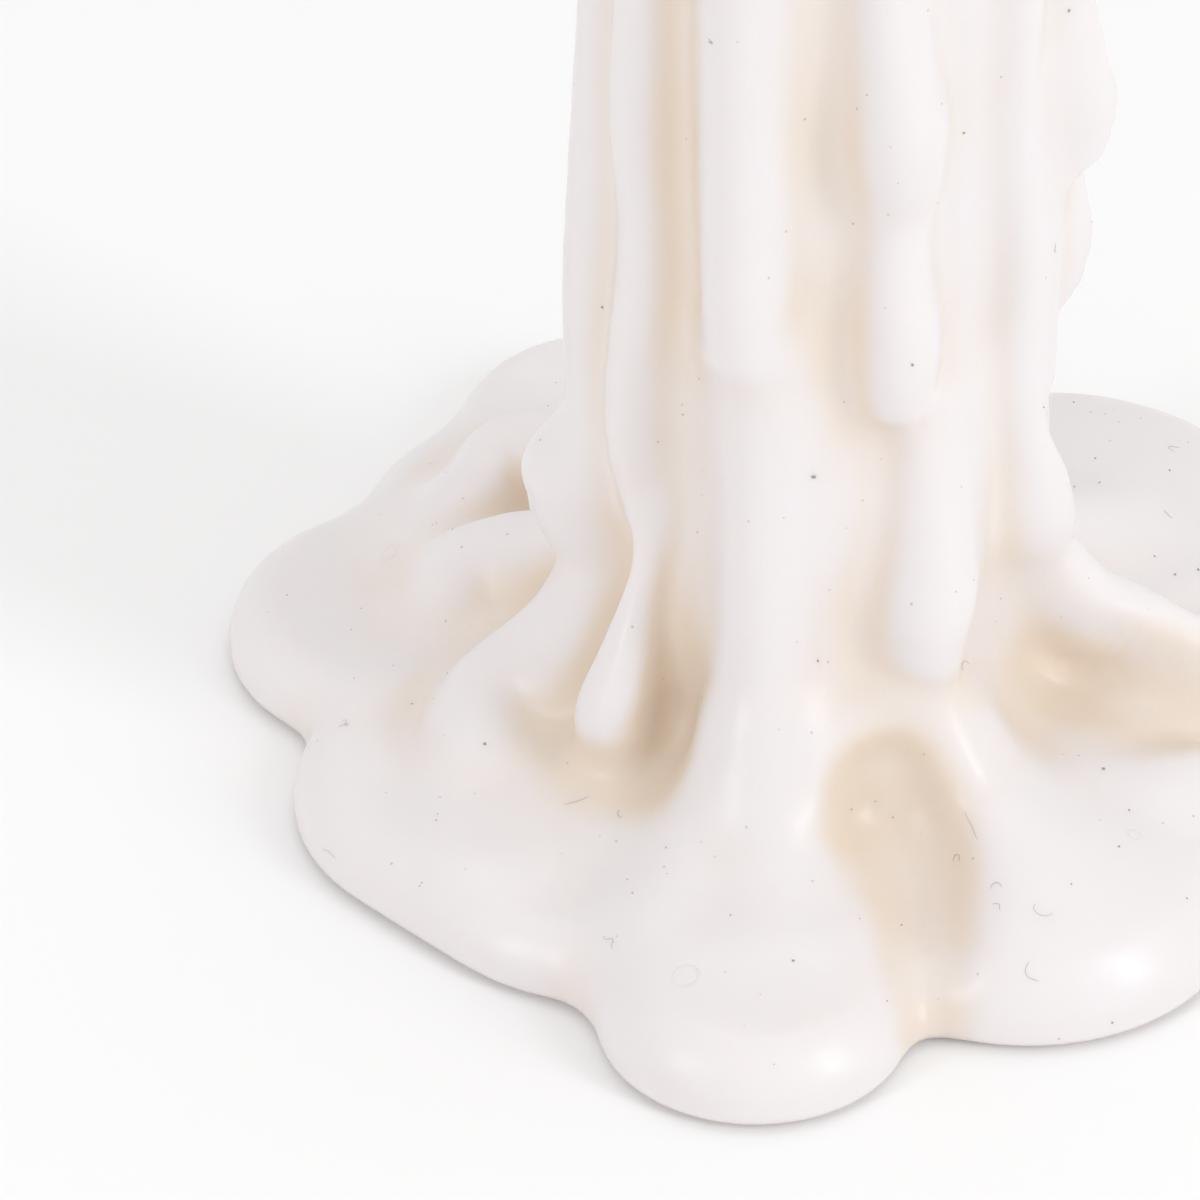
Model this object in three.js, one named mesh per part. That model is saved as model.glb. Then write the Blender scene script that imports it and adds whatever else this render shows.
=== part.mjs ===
// A stick candle that has burnt down in its own wax: runs and drops of wax have set on the stick,
// and the rest has spread round its foot as a lobed puddle. Millimetres, +Z up, the underside at z = 0.
import * as THREE from "three";
import { mergeVertices } from "three/addons/utils/BufferGeometryUtils.js";

// Driving dimensions of the stick, the melt pool in its top, and the wick.
const WAX_TOP = 118;
const STICK_RADIUS = 13.4;
const STICK_FOOT_RADIUS = 14.8;
const STICK_FOOT_HEIGHT = 40;
const TOP_EDGE_BLEND = 2.4;
const POOL_RADIUS = 23;
const POOL_CENTRE_HEIGHT = WAX_TOP + 20.4;
const POOL_EDGE_BLEND = 1.6;
const WICK_RADIUS = 1;
const WICK_CHANNEL_RADIUS = 1.3;
const WICK_CHANNEL_FLOOR = 3;
const WICK_FOOT_GAP = 0.3;
const WICK_BEND_HEIGHT = 116.5;

// How roundly the puddle's rim turns over, and how softly its pieces flow into each other.
const RIM_ROUND = 3.2;
const LOBE_BLEND = 4;
const FOOT_BLEND = 5;
const UNDERSIDE_BLEND = 1.2;

// The puddle's lobes: centre x and y, radius, thickness at the rim, rise of the crown above it.
const LOBES = [
  [-14.5, 36.0, 11.8, 5.0, 1.2],
  [-22.0, 25.6, 10.6, 4.8, 0.8],
  [-29.0, 12.4, 13.1, 4.8, 0.2],
  [-21.5, -6.5, 15.3, 4.6, 0.4],
  [-14.5, -14.5, 14.4, 4.8, 0.6],
  [-5.0, -31.0, 10.6, 5.2, 1.4],
  [-5.0, -22.0, 11.5, 5.6, 1.4],
  [13.5, -18.4, 15.0, 5.2, 4.0],
  [27.0, -5.0, 13.5, 5.2, 1.2],
  [28.0, 8.5, 13.0, 5.0, 0.6],
  [18.0, 21.2, 16.9, 6.0, 2.6],
  [0.0, 28.5, 15.5, 5.2, 1.0],
  [0.0, 0.0, 25.0, 6.2, 3.0],
];

// The runs on the stick. Each has the softness of its join, then stations from the top down:
// height, direction round the stick in degrees, distance of its middle from the axis, radius.
const RUNS = [
  // front, from the left to the right
  [2.8, [[114, -176, 12.2, 3.3], [104, -176, 12.8, 3.9], [93, -177, 13.2, 4.4], [81, -178, 12.8, 3.9],
    [62, -178, 12.9, 4], [50, -178, 13.3, 4.2], [40, -178, 13.7, 4.2], [30, -177, 13.5, 4.2],
    [18, -175, 13.8, 4.4], [10, -172, 15.2, 4.6]]],
  [3.2, [[109, -150, 13, 1.8], [100, -150, 13.8, 2.4], [94, -150, 14.1, 2.7], [88, -150, 13.9, 2.1],
    [66, -149, 14.2, 2.2], [58, -149, 14.4, 2.3], [49, -148.5, 14.1, 1.9], [40, -149, 14.5, 2.2],
    [36, -149.5, 14.6, 2.3], [30, -149, 14.3, 2.1], [27, -148, 13.8, 1.7]]],
  [1.8, [[116, -134, 12.8, 2.2], [104, -134, 13.2, 2.2], [94, -133, 13.7, 2.6], [89, -133, 13.7, 2.5]]],
  [3.4, [[111, -116, 12.3, 2.4], [98, -117, 13.1, 2.8], [84, -117, 13.4, 2.9], [61, -115, 14, 2.8],
    [53, -114, 14.3, 2.9], [47, -113, 14.7, 2.8], [44.2, -113, 14.6, 2.5]]],
  [4.4, [[42, -110, 11.6, 3], [36, -109, 12.8, 3.4], [30, -108, 13.6, 3.5], [24, -106.5, 14.4, 3.4],
    [17, -105.5, 15.4, 3.2], [11, -105.5, 16.6, 3.2]]],
  [1.6, [[113, -97, 12.8, 2], [100, -96, 13.4, 2.3], [88, -95, 14.2, 2.9], [84, -95, 14.2, 2.7]]],
  [2.8, [[116, -77, 13, 2.4], [105, -77, 13.5, 2.4], [97, -77, 13.9, 2.9], [91, -77, 13.5, 2.2],
    [80, -77, 13.5, 2.1], [72, -77, 13.7, 2], [66, -75, 14, 2.4], [60.5, -73, 14.5, 2.9],
    [57, -73, 14.4, 2.5], [53.5, -73, 14, 1.8], [50, -73, 14.1, 2], [45.5, -72, 14.5, 2.5],
    [42, -72, 14.6, 2.4], [40.4, -72, 14.5, 2.1]]],
  [1.8, [[110, -53, 12.8, 2], [96, -52, 13.6, 2.4], [86, -51, 14.2, 2.9], [83, -51, 14.1, 2.7]]],
  [4.0, [[38, -54, 11.6, 2.4], [20, -56, 12.8, 3]]],
  [4.0, [[30, -87, 10.2, 2.4], [22, -86, 11.2, 2.5], [15, -85, 13, 2.7]]],
  [2.6, [[38.5, -64, 13.8, 1.1], [33, -62.5, 14.4, 1.8], [28, -63, 15.2, 2.7], [23.4, -64, 15.8, 3.5],
    [20.6, -64, 15.8, 3.4]]],
  [2.4, [[115, -31, 13.1, 2.1], [101, -31, 13.7, 2.5], [95, -30, 13.4, 2], [72, -30, 13.3, 1.8],
    [55, -29, 13.4, 1.8], [46, -27, 14, 1.9], [38, -28, 13.8, 2], [30.5, -24, 14.2, 2.3],
    [25, -20, 14.6, 2.5]]],
  [2.0, [[108, -8, 12.4, 2.6], [96, -8, 13.4, 3.4], [86, -8, 13.2, 3], [72, -8, 13.5, 3.3],
    [64, -8, 14, 3.3], [58.5, -7, 15, 3.4], [55.5, -6, 15.6, 3.5], [53.6, -6, 15.4, 3.3]]],
  [2.0, [[60, -14, 13, 3], [48, -14, 13.2, 2.8], [36, -16, 13.4, 2.6]]],
  [1.8, [[116, 14, 12.9, 2.4], [104, 14, 13.5, 2.5], [95, 14, 14.2, 3], [90, 14, 13.8, 2.6],
    [66, 14, 13.4, 2.7], [52, 14, 14, 2.7], [46, 13, 14.8, 3], [41.2, 13, 15.2, 3.2],
    [39.8, 13, 15.1, 3]]],
  [3.0, [[44, 5, 12.4, 2.9], [30, 8, 12.6, 2.9], [18, 14, 13.2, 3.4]]],
  // drops low on the left side and at the front left
  [1.8, [[31.5, 179, 13.6, 2.2], [29, 179.5, 14.6, 3.5], [25, 180, 16, 4.8], [22.8, 180, 15.8, 4.6]]],
  [2.2, [[28.5, -143, 13.6, 0.8], [24.5, -143, 14.6, 1.1], [20, -142.5, 15.8, 1.5], [16, -142, 17, 2.2],
    [12.8, -142, 18, 2.7], [11.8, -142, 18.2, 2.7]]],
  // back, from the right to the left
  [2.4, [[112, 36, 12.9, 2.2], [96, 35, 13.4, 2.4], [80, 34, 13.6, 2.7], [66, 35, 14.2, 3.2],
    [61, 36, 14, 2.6], [56, 35, 13.6, 2.1], [40, 36, 14, 2.6], [30, 38, 14.6, 3.2], [26, 38, 14.4, 2.7]]],
  [2.4, [[115, 60, 12.6, 2.6], [100, 60, 13, 2.8], [82, 60, 13.9, 3.4], [77, 60, 13.6, 2.8],
    [50, 60, 13.8, 3.5], [44, 60, 13.4, 2.8], [30, 61, 13.4, 2.8], [14, 62, 15.5, 3.6]]],
  [1.8, [[110, 84, 13, 2], [96, 84, 13.6, 2.5], [86, 85, 14, 3.2], [80, 85, 13.6, 2.3],
    [60, 86, 13.7, 2.3], [40, 88, 14.2, 2.8], [31, 88, 15, 3.6], [27.5, 88, 14.8, 3]]],
  [2.4, [[116, 108, 12.4, 2.8], [100, 107, 13, 3.4], [86, 108, 12.8, 3], [66, 109, 13.4, 3.6],
    [56, 110, 13.6, 3.4], [53, 110, 13.4, 3]]],
  [2.4, [[50, 112, 12.6, 2.8], [30, 114, 13.2, 3.4], [14, 118, 15.5, 4]]],
  [1.8, [[116, 131, 13.1, 2.3], [103, 132, 13.9, 2.9], [97, 132, 13.6, 2.3], [84, 132, 13.8, 2.6],
    [72, 132, 14.4, 3.3], [68, 132, 14, 2.6], [56, 133, 13.6, 2], [44, 134, 14, 2.4],
    [36, 136, 14.6, 3], [33, 136, 14.4, 2.5]]],
  [2.2, [[111, 157, 12.6, 2.4], [90, 157, 13.5, 3.4], [82, 156, 13.2, 2.8], [58, 156, 13.2, 3.2],
    [40, 156, 13.2, 3], [24, 156, 14, 3.4]]],
];

// Tongues of wax that flow from the stick's foot over the puddle. Each has the softness of its
// join, then stations outwards: direction in degrees, distance from the axis, height, radius.
const TONGUES = [
  [3.6, [[122, 14, 15, 3.6], [124, 24, 11.2, 3.4], [126, 30.6, 8.9, 3.3], [130.4, 33.9, 7.4, 3.2],
    [135, 33.2, 6.3, 3.1], [141, 32.6, 5.5, 3], [148, 32.4, 4.4, 2.8]]],
  [4.0, [[152, 13, 15, 4], [150, 20, 9.8, 3.8], [151, 24.6, 8, 3.7], [154, 27.2, 6.6, 3.7],
    [157, 27.6, 5.4, 3.5]]],
  [3.6, [[-174, 14, 13, 4], [-176, 19.5, 8.8, 3.7], [-174, 22.4, 7, 3.6], [-170, 23.9, 5.9, 3.5],
    [-165, 24.2, 4.8, 3.3]]],
  [3.4, [[-107, 16.2, 13, 3], [-110, 18.8, 9.2, 3.2], [-112.5, 22, 6, 3.4], [-114, 26, 3.6, 3.4]]],
  [3.4, [[-103, 16.4, 13, 3.2], [-100, 19.2, 9.4, 3.4], [-98.5, 22.6, 6.2, 3.6], [-98, 27.4, 3.4, 3.6]]],
  [4.0, [[-64, 14, 12, 5], [-59, 19, 7, 5.2], [-55, 24.5, 3.4, 5.2]]],
  [4.4, [[-21, 13.8, 26, 2.6], [-13, 14.8, 20.4, 2.7], [-8, 17.6, 15.4, 3], [-5, 21.4, 12.2, 3.3],
    [-3, 25, 9.2, 3.5], [-1, 29, 6.6, 3.6], [1, 33, 4.4, 3.6]]],
  [3.0, [[-32, 25.3, 3, 4], [-28, 27, 4, 4], [-22, 28.5, 4, 4]]],
  [5.0, [[-92, 15.4, 12.6, 2.8], [-78, 15.6, 12.8, 2.8], [-66, 15.4, 12.8, 2.8]]],
  [4.0, [[40, 14, 14, 3.8], [42, 20, 8.6, 3.8], [40, 27, 5.2, 3.6]]],
  [4.0, [[86, 14, 15, 4], [86, 20, 9, 4], [82, 27, 5, 3.8], [76, 33, 3, 3.4]]],
];

// Hollows left between the tongues, given as the tongues are.
const HOLLOWS = [
  [4.2, [[-77, 19.6, 12.4, 1.7], [-75.6, 21.2, 10, 2.1], [-75.4, 23.8, 8.2, 2.3], [-76, 27, 7.2, 2],
    [-77.2, 31, 6.6, 1.6], [-78.5, 35, 6, 1.2]]],
  [4.0, [[-47, 18.2, 20.5, 2.6], [-32, 19.2, 16.6, 3], [-24, 21.2, 13.8, 3], [-17, 23.4, 11.6, 2.8],
    [-12, 27, 10, 2.4], [-10, 32, 8.8, 2]]],
  [4.0, [[-131, 18.7, 37, 3], [-131, 18.6, 30, 3.4], [-130, 18.8, 23, 2.6]]],
];

// Dips in the pool's rim where the wax ran over, given as the tongues are.
const RIM_DIPS = [
  [2.4, [[-75, 8, 120.2, 3.2], [-75, 18, 118.8, 3.2]]],
  [2.4, [[14, 8, 120.4, 3], [14, 18, 119.2, 3]]],
  [2.4, [[131, 8, 120, 3.4], [131, 18, 118.4, 3.4]]],
  [2.0, [[-176, 8, 120.8, 3], [-176, 18, 119.8, 3]]],
];

const TONGUE_STEPS = 5;
const TONGUE_CEILING = 45;
const RIM_DIP_FLOOR = 105;

// The mesh: directions round the axis, and stations along each direction's outline.
const DIRECTIONS = 80;
const RIM_CENTRE_INSET = 3.4;
const RIM_CENTRE_HEIGHT = 2;
const RIM_STATIONS = 7;
const PUDDLE_STATIONS = 4;
const FOOT_CENTRE_DISTANCE = 26.5;
const FOOT_CENTRE_HEIGHT = 16;
const FOOT_STATIONS = 10;
const STICK_TOP_STATION = 113;
const STICK_STATIONS = 32;
const TOP_CENTRE_DISTANCE = 11;
const TOP_STATIONS = 5;
const POOL_STATIONS = 4;
const OUTSIDE = 75;
const MARCH_STEP = 0.6;
const HALVINGS = 14;

const degrees = (angle) => THREE.MathUtils.degToRad(angle);
const lerp = THREE.MathUtils.lerp;
const clamp = THREE.MathUtils.clamp;

function smoothMin(a, b, blend) {
  const h = Math.max(blend - Math.abs(a - b), 0) / blend;
  return Math.min(a, b) - h * h * blend * 0.25;
}

const smoothMax = (a, b, blend) => -smoothMin(-a, -b, blend);

// A smooth table: rows of values that pass through their stations with rounded slopes between them.
class SmoothTable {
  constructor(stations, rows) {
    this.stations = stations;
    this.rows = rows;
    this.slopes = rows.map((row, i) => row.map((value, c) => this.slopeAt(i, c)));
  }

  slopeBetween(i, c) {
    return (this.rows[i + 1][c] - this.rows[i][c]) / (this.stations[i + 1] - this.stations[i]);
  }

  slopeAt(i, c) {
    const last = this.rows.length - 1;
    if (i === 0) return this.slopeBetween(0, c);
    if (i === last) return this.slopeBetween(last - 1, c);
    const before = this.stations[i] - this.stations[i - 1];
    const after = this.stations[i + 1] - this.stations[i];
    return (this.slopeBetween(i - 1, c) * after + this.slopeBetween(i, c) * before) / (before + after);
  }

  at(place) {
    let i = 0;
    while (i < this.stations.length - 2 && place > this.stations[i + 1]) i += 1;
    const width = this.stations[i + 1] - this.stations[i];
    const u = (place - this.stations[i]) / width;
    return this.rows[i].map((value, c) =>
      value * (1 + 2 * u) * (1 - u) ** 2 +
      this.slopes[i][c] * width * u * (1 - u) ** 2 +
      this.rows[i + 1][c] * u * u * (3 - 2 * u) +
      this.slopes[i + 1][c] * width * u * u * (u - 1));
  }
}

// A run down the stick: where its middle is and how thick it is at each height.
function makeRun([blend, stations]) {
  const rising = [...stations].reverse();
  const rows = rising.map(([, direction, distance, radius]) =>
    [distance * Math.cos(degrees(direction)), distance * Math.sin(degrees(direction)), radius]);
  return { blend, table: new SmoothTable(rising.map(([height]) => height), rows) };
}

function distanceToRun({ table }, x, y, z) {
  const { stations } = table;
  const height = clamp(z, stations[0], stations[stations.length - 1]);
  const [middleX, middleY, radius] = table.at(height);
  return Math.hypot(x - middleX, y - middleY, z - height) - radius;
}

// A tongue or hollow: a smooth chain of balls, each joined to the next by a cone.
function makeChain([blend, stations]) {
  const rows = stations.map(([direction, distance, height, radius]) =>
    [distance * Math.cos(degrees(direction)), distance * Math.sin(degrees(direction)), height, radius]);
  const table = new SmoothTable(stations.map((station, i) => i), rows);
  const count = (stations.length - 1) * TONGUE_STEPS;
  const balls = Array.from({ length: count + 1 }, (unused, i) => table.at(i / TONGUE_STEPS));
  return { blend, balls };
}

function distanceToChain({ balls }, x, y, z) {
  let nearest = Infinity;
  for (let i = 0; i < balls.length - 1; i += 1) {
    const [ax, ay, az, aRadius] = balls[i];
    const [bx, by, bz, bRadius] = balls[i + 1];
    const [dx, dy, dz] = [bx - ax, by - ay, bz - az];
    const along = ((x - ax) * dx + (y - ay) * dy + (z - az) * dz) / (dx * dx + dy * dy + dz * dz);
    const t = clamp(along, 0, 1);
    const gap = Math.hypot(x - ax - t * dx, y - ay - t * dy, z - az - t * dz);
    nearest = Math.min(nearest, gap - lerp(aRadius, bRadius, t));
  }
  return nearest;
}

// A lobe of the puddle: a disc with a rounded rim and a slightly raised or sunken crown.
function distanceToLobe([centreX, centreY, radius, thickness, crown], x, y, z) {
  const distance = Math.hypot(x - centreX, y - centreY);
  const top = thickness + crown * (1 - Math.min(distance / radius, 1) ** 2);
  const out = distance - (radius - RIM_ROUND);
  const up = z - (top - RIM_ROUND);
  return Math.min(Math.max(out, up), 0) + Math.hypot(Math.max(out, 0), Math.max(up, 0)) - RIM_ROUND;
}

const runs = RUNS.map(makeRun);
const tongues = TONGUES.map(makeChain);
const hollows = HOLLOWS.map(makeChain);
const rimDips = RIM_DIPS.map(makeChain);

// How far a point is outside the wax, or inside it where the value is negative.
function outsideWax(x, y, z) {
  const footShare = clamp(z / STICK_FOOT_HEIGHT, 0, 1);
  const stickRadius = lerp(STICK_FOOT_RADIUS, STICK_RADIUS, footShare);
  let stick = smoothMax(Math.hypot(x, y) - stickRadius, z - WAX_TOP, TOP_EDGE_BLEND);
  for (const run of runs) stick = smoothMin(stick, distanceToRun(run, x, y, z), run.blend);
  let puddle = distanceToLobe(LOBES[0], x, y, z);
  for (const lobe of LOBES.slice(1)) {
    puddle = smoothMin(puddle, distanceToLobe(lobe, x, y, z), LOBE_BLEND);
  }
  let wax = smoothMin(stick, puddle, FOOT_BLEND);
  if (z < TONGUE_CEILING) {
    for (const tongue of tongues) wax = smoothMin(wax, distanceToChain(tongue, x, y, z), tongue.blend);
    for (const hollow of hollows) wax = smoothMax(wax, -distanceToChain(hollow, x, y, z), hollow.blend);
  }
  const pool = Math.hypot(x, y, z - POOL_CENTRE_HEIGHT) - POOL_RADIUS;
  wax = smoothMax(wax, -pool, POOL_EDGE_BLEND);
  if (z > RIM_DIP_FLOOR) {
    for (const dip of rimDips) wax = smoothMax(wax, -distanceToChain(dip, x, y, z), dip.blend);
  }
  return smoothMax(wax, -z, UNDERSIDE_BLEND);
}

// Where a straight line through open air first meets the wax, in the upright plane of one direction.
function meetWax(direction, distance, height, outwards, upwards) {
  const outside = (t) => {
    const r = distance + t * outwards;
    return outsideWax(r * Math.cos(direction), r * Math.sin(direction), height + t * upwards);
  };
  let inner = 0;
  while (outside(inner) > 0 && inner < 2 * OUTSIDE) inner += MARCH_STEP;
  let outer = inner - MARCH_STEP;
  for (let i = 0; i < HALVINGS; i += 1) {
    const middle = (inner + outer) / 2;
    if (outside(middle) > 0) outer = middle;
    else inner = middle;
  }
  return [distance + inner * outwards, height + inner * upwards];
}

// A line that arrives from outside at a centre inside the wax, at an angle above the level.
function meetWaxTowards(direction, centreDistance, centreHeight, angle, reach) {
  const [outwards, upwards] = [Math.cos(angle), Math.sin(angle)];
  return meetWax(direction, centreDistance + reach * outwards, centreHeight + reach * upwards,
    -outwards, -upwards);
}

const spread = (count, from, to) =>
  Array.from({ length: count }, (unused, i) => lerp(from, to, i / (count - 1)));

// The outline of the wax in one direction: underside, rim, puddle, foot, stick, top, pool, channel.
function outlineOfWax(direction) {
  const [rimDistance] = meetWax(direction, OUTSIDE, RIM_CENTRE_HEIGHT, -1, 0);
  const rimCentre = rimDistance - RIM_CENTRE_INSET;
  const outline = [[0, 0], [rimCentre * 0.5, 0], [rimCentre, 0]];
  for (const angle of spread(RIM_STATIONS, degrees(-24), degrees(90))) {
    outline.push(meetWaxTowards(direction, rimCentre, RIM_CENTRE_HEIGHT, angle, 20));
  }
  for (const distance of spread(PUDDLE_STATIONS + 1, rimCentre, FOOT_CENTRE_DISTANCE).slice(1, -1)) {
    outline.push(meetWax(direction, distance, FOOT_CENTRE_HEIGHT, 0, -1));
  }
  for (const angle of spread(FOOT_STATIONS, degrees(90), degrees(0))) {
    outline.push(meetWax(direction, FOOT_CENTRE_DISTANCE, FOOT_CENTRE_HEIGHT,
      -Math.cos(angle), -Math.sin(angle)));
  }
  for (const height of spread(STICK_STATIONS, FOOT_CENTRE_HEIGHT, STICK_TOP_STATION).slice(1)) {
    outline.push(meetWax(direction, FOOT_CENTRE_DISTANCE, height, -1, 0));
  }
  for (const angle of spread(TOP_STATIONS + 1, 0, degrees(90)).slice(1)) {
    outline.push(meetWaxTowards(direction, TOP_CENTRE_DISTANCE, STICK_TOP_STATION, angle, 14));
  }
  const poolStations = spread(POOL_STATIONS + 1, TOP_CENTRE_DISTANCE, WICK_CHANNEL_RADIUS).slice(1);
  for (const distance of poolStations) {
    outline.push(meetWax(direction, distance, WAX_TOP + 6, 0, -1));
  }
  outline.push([WICK_CHANNEL_RADIUS, WICK_CHANNEL_FLOOR], [0, WICK_CHANNEL_FLOOR]);
  return outline;
}

// The wax is one lathe-like skin whose outline changes with the direction round the axis.
function waxGeometry() {
  const outlines = Array.from({ length: DIRECTIONS }, (unused, i) =>
    outlineOfWax((2 * Math.PI * i) / DIRECTIONS));
  const profile = outlines[0].map(([distance, height]) => new THREE.Vector2(distance, height));
  const geometry = new THREE.LatheGeometry(profile, DIRECTIONS);
  const { position } = geometry.attributes;
  for (let i = 0; i <= DIRECTIONS; i += 1) {
    const direction = (2 * Math.PI * i) / DIRECTIONS;
    outlines[i % DIRECTIONS].forEach(([distance, height], j) => {
      position.setXYZ(i * profile.length + j,
        distance * Math.cos(direction), distance * Math.sin(direction), height);
    });
  }
  geometry.deleteAttribute("normal");
  geometry.deleteAttribute("uv");
  const closed = mergeVertices(geometry, 1e-4);
  closed.computeVertexNormals();
  return closed;
}

// The wick stands straight in its channel and leans over where it was charred.
function wickGeometry() {
  const section = new THREE.Shape().absarc(0, 0, WICK_RADIUS, 0, 2 * Math.PI);
  const foot = new THREE.Vector3(0, 0, WICK_CHANNEL_FLOOR + WICK_FOOT_GAP);
  const bend = new THREE.Vector3(0, 0, WICK_BEND_HEIGHT);
  const path = new THREE.CurvePath();
  path.add(new THREE.LineCurve3(foot, bend));
  path.add(new THREE.CubicBezierCurve3(bend, new THREE.Vector3(0, 0, 119.5),
    new THREE.Vector3(0.5, -0.3, 122), new THREE.Vector3(2.4, -1.2, 124)));
  return new THREE.ExtrudeGeometry(section, { curveSegments: 6, steps: 40, extrudePath: path });
}

const candle = new THREE.Group();

const waxBody = new THREE.Mesh(
  waxGeometry(),
  new THREE.MeshStandardMaterial({ color: 0xefe6de, roughness: 0.38, metalness: 0 }));
waxBody.name = "wax_body";
candle.add(waxBody);

const wick = new THREE.Mesh(
  wickGeometry(),
  new THREE.MeshStandardMaterial({ color: 0x3a332d, roughness: 0.95, metalness: 0 }));
wick.name = "wick";
candle.add(wick);

export default candle;
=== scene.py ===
"""A melted stick candle: its wax body, braided wick, dust and lint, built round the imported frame."""

import math

import bmesh
import bpy
import numpy as np
from bpy.props import FloatProperty, FloatVectorProperty, IntProperty, PointerProperty
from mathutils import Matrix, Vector, noise


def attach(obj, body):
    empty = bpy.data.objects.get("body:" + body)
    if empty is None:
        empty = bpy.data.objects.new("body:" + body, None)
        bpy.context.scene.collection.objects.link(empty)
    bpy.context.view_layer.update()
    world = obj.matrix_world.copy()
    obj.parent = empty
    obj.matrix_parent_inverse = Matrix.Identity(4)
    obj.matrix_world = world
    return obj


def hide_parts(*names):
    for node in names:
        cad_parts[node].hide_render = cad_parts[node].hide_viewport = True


bl_info = {
    "name": "Melted candle",
    "version": (1, 0, 0),
    "blender": (4, 5, 0),
    "location": "3D View > Sidebar > Candle",
    "description": "Builds a burnt-down stick candle with its runs, lobed puddle and wick",
    "category": "Add Mesh",
}

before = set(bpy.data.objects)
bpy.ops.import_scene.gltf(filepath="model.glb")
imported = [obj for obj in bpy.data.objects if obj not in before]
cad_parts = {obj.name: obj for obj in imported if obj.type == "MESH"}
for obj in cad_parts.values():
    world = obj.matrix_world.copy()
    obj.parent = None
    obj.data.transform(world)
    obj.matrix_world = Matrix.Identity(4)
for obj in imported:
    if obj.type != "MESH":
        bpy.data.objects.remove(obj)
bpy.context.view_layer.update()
MM = 0.001

# ---------------------------------------------------------------------------------------------
# The wax as one smooth solid. Everything in this section is in millimetres and degrees.
# ---------------------------------------------------------------------------------------------

WAX_TOP = 118.0
STICK_RADIUS = 13.4
STICK_FOOT_RADIUS = 14.8
STICK_FOOT_HEIGHT = 40.0
TOP_EDGE_BLEND = 2.4
POOL_RADIUS = 23.0
POOL_CENTRE_HEIGHT = WAX_TOP + 20.4
POOL_EDGE_BLEND = 1.6
WICK_CHANNEL_RADIUS = 1.06
WICK_CHANNEL_FLOOR = 3.0

# How roundly the puddle's rim turns over, and how softly its pieces flow into each other.
RIM_ROUND = 3.2
LOBE_BLEND = 4.0
FOOT_BLEND = 5.0
UNDERSIDE_BLEND = 1.2

# The puddle's lobes: centre x and y, radius, thickness at the rim, rise of the crown above it.
LOBES = [
    [-14.5, 36.0, 11.8, 5.0, 1.2],
    [-22.0, 25.6, 10.6, 4.8, 0.8],
    [-29.0, 12.4, 13.1, 4.8, 0.2],
    [-21.5, -6.5, 15.3, 4.6, 0.4],
    [-14.5, -14.5, 14.4, 4.8, 0.6],
    [-5.0, -31.0, 10.6, 5.2, 1.4],
    [-5.0, -22.0, 11.5, 5.6, 1.4],
    [13.5, -18.4, 15.0, 5.2, 4.0],
    [27.0, -5.0, 13.5, 5.2, 1.2],
    [28.0, 8.5, 13.0, 5.0, 0.6],
    [18.0, 21.2, 16.9, 6.0, 2.6],
    [0.0, 28.5, 15.5, 5.2, 1.0],
    [0.0, 0.0, 25.0, 6.2, 3.0],
]

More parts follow.
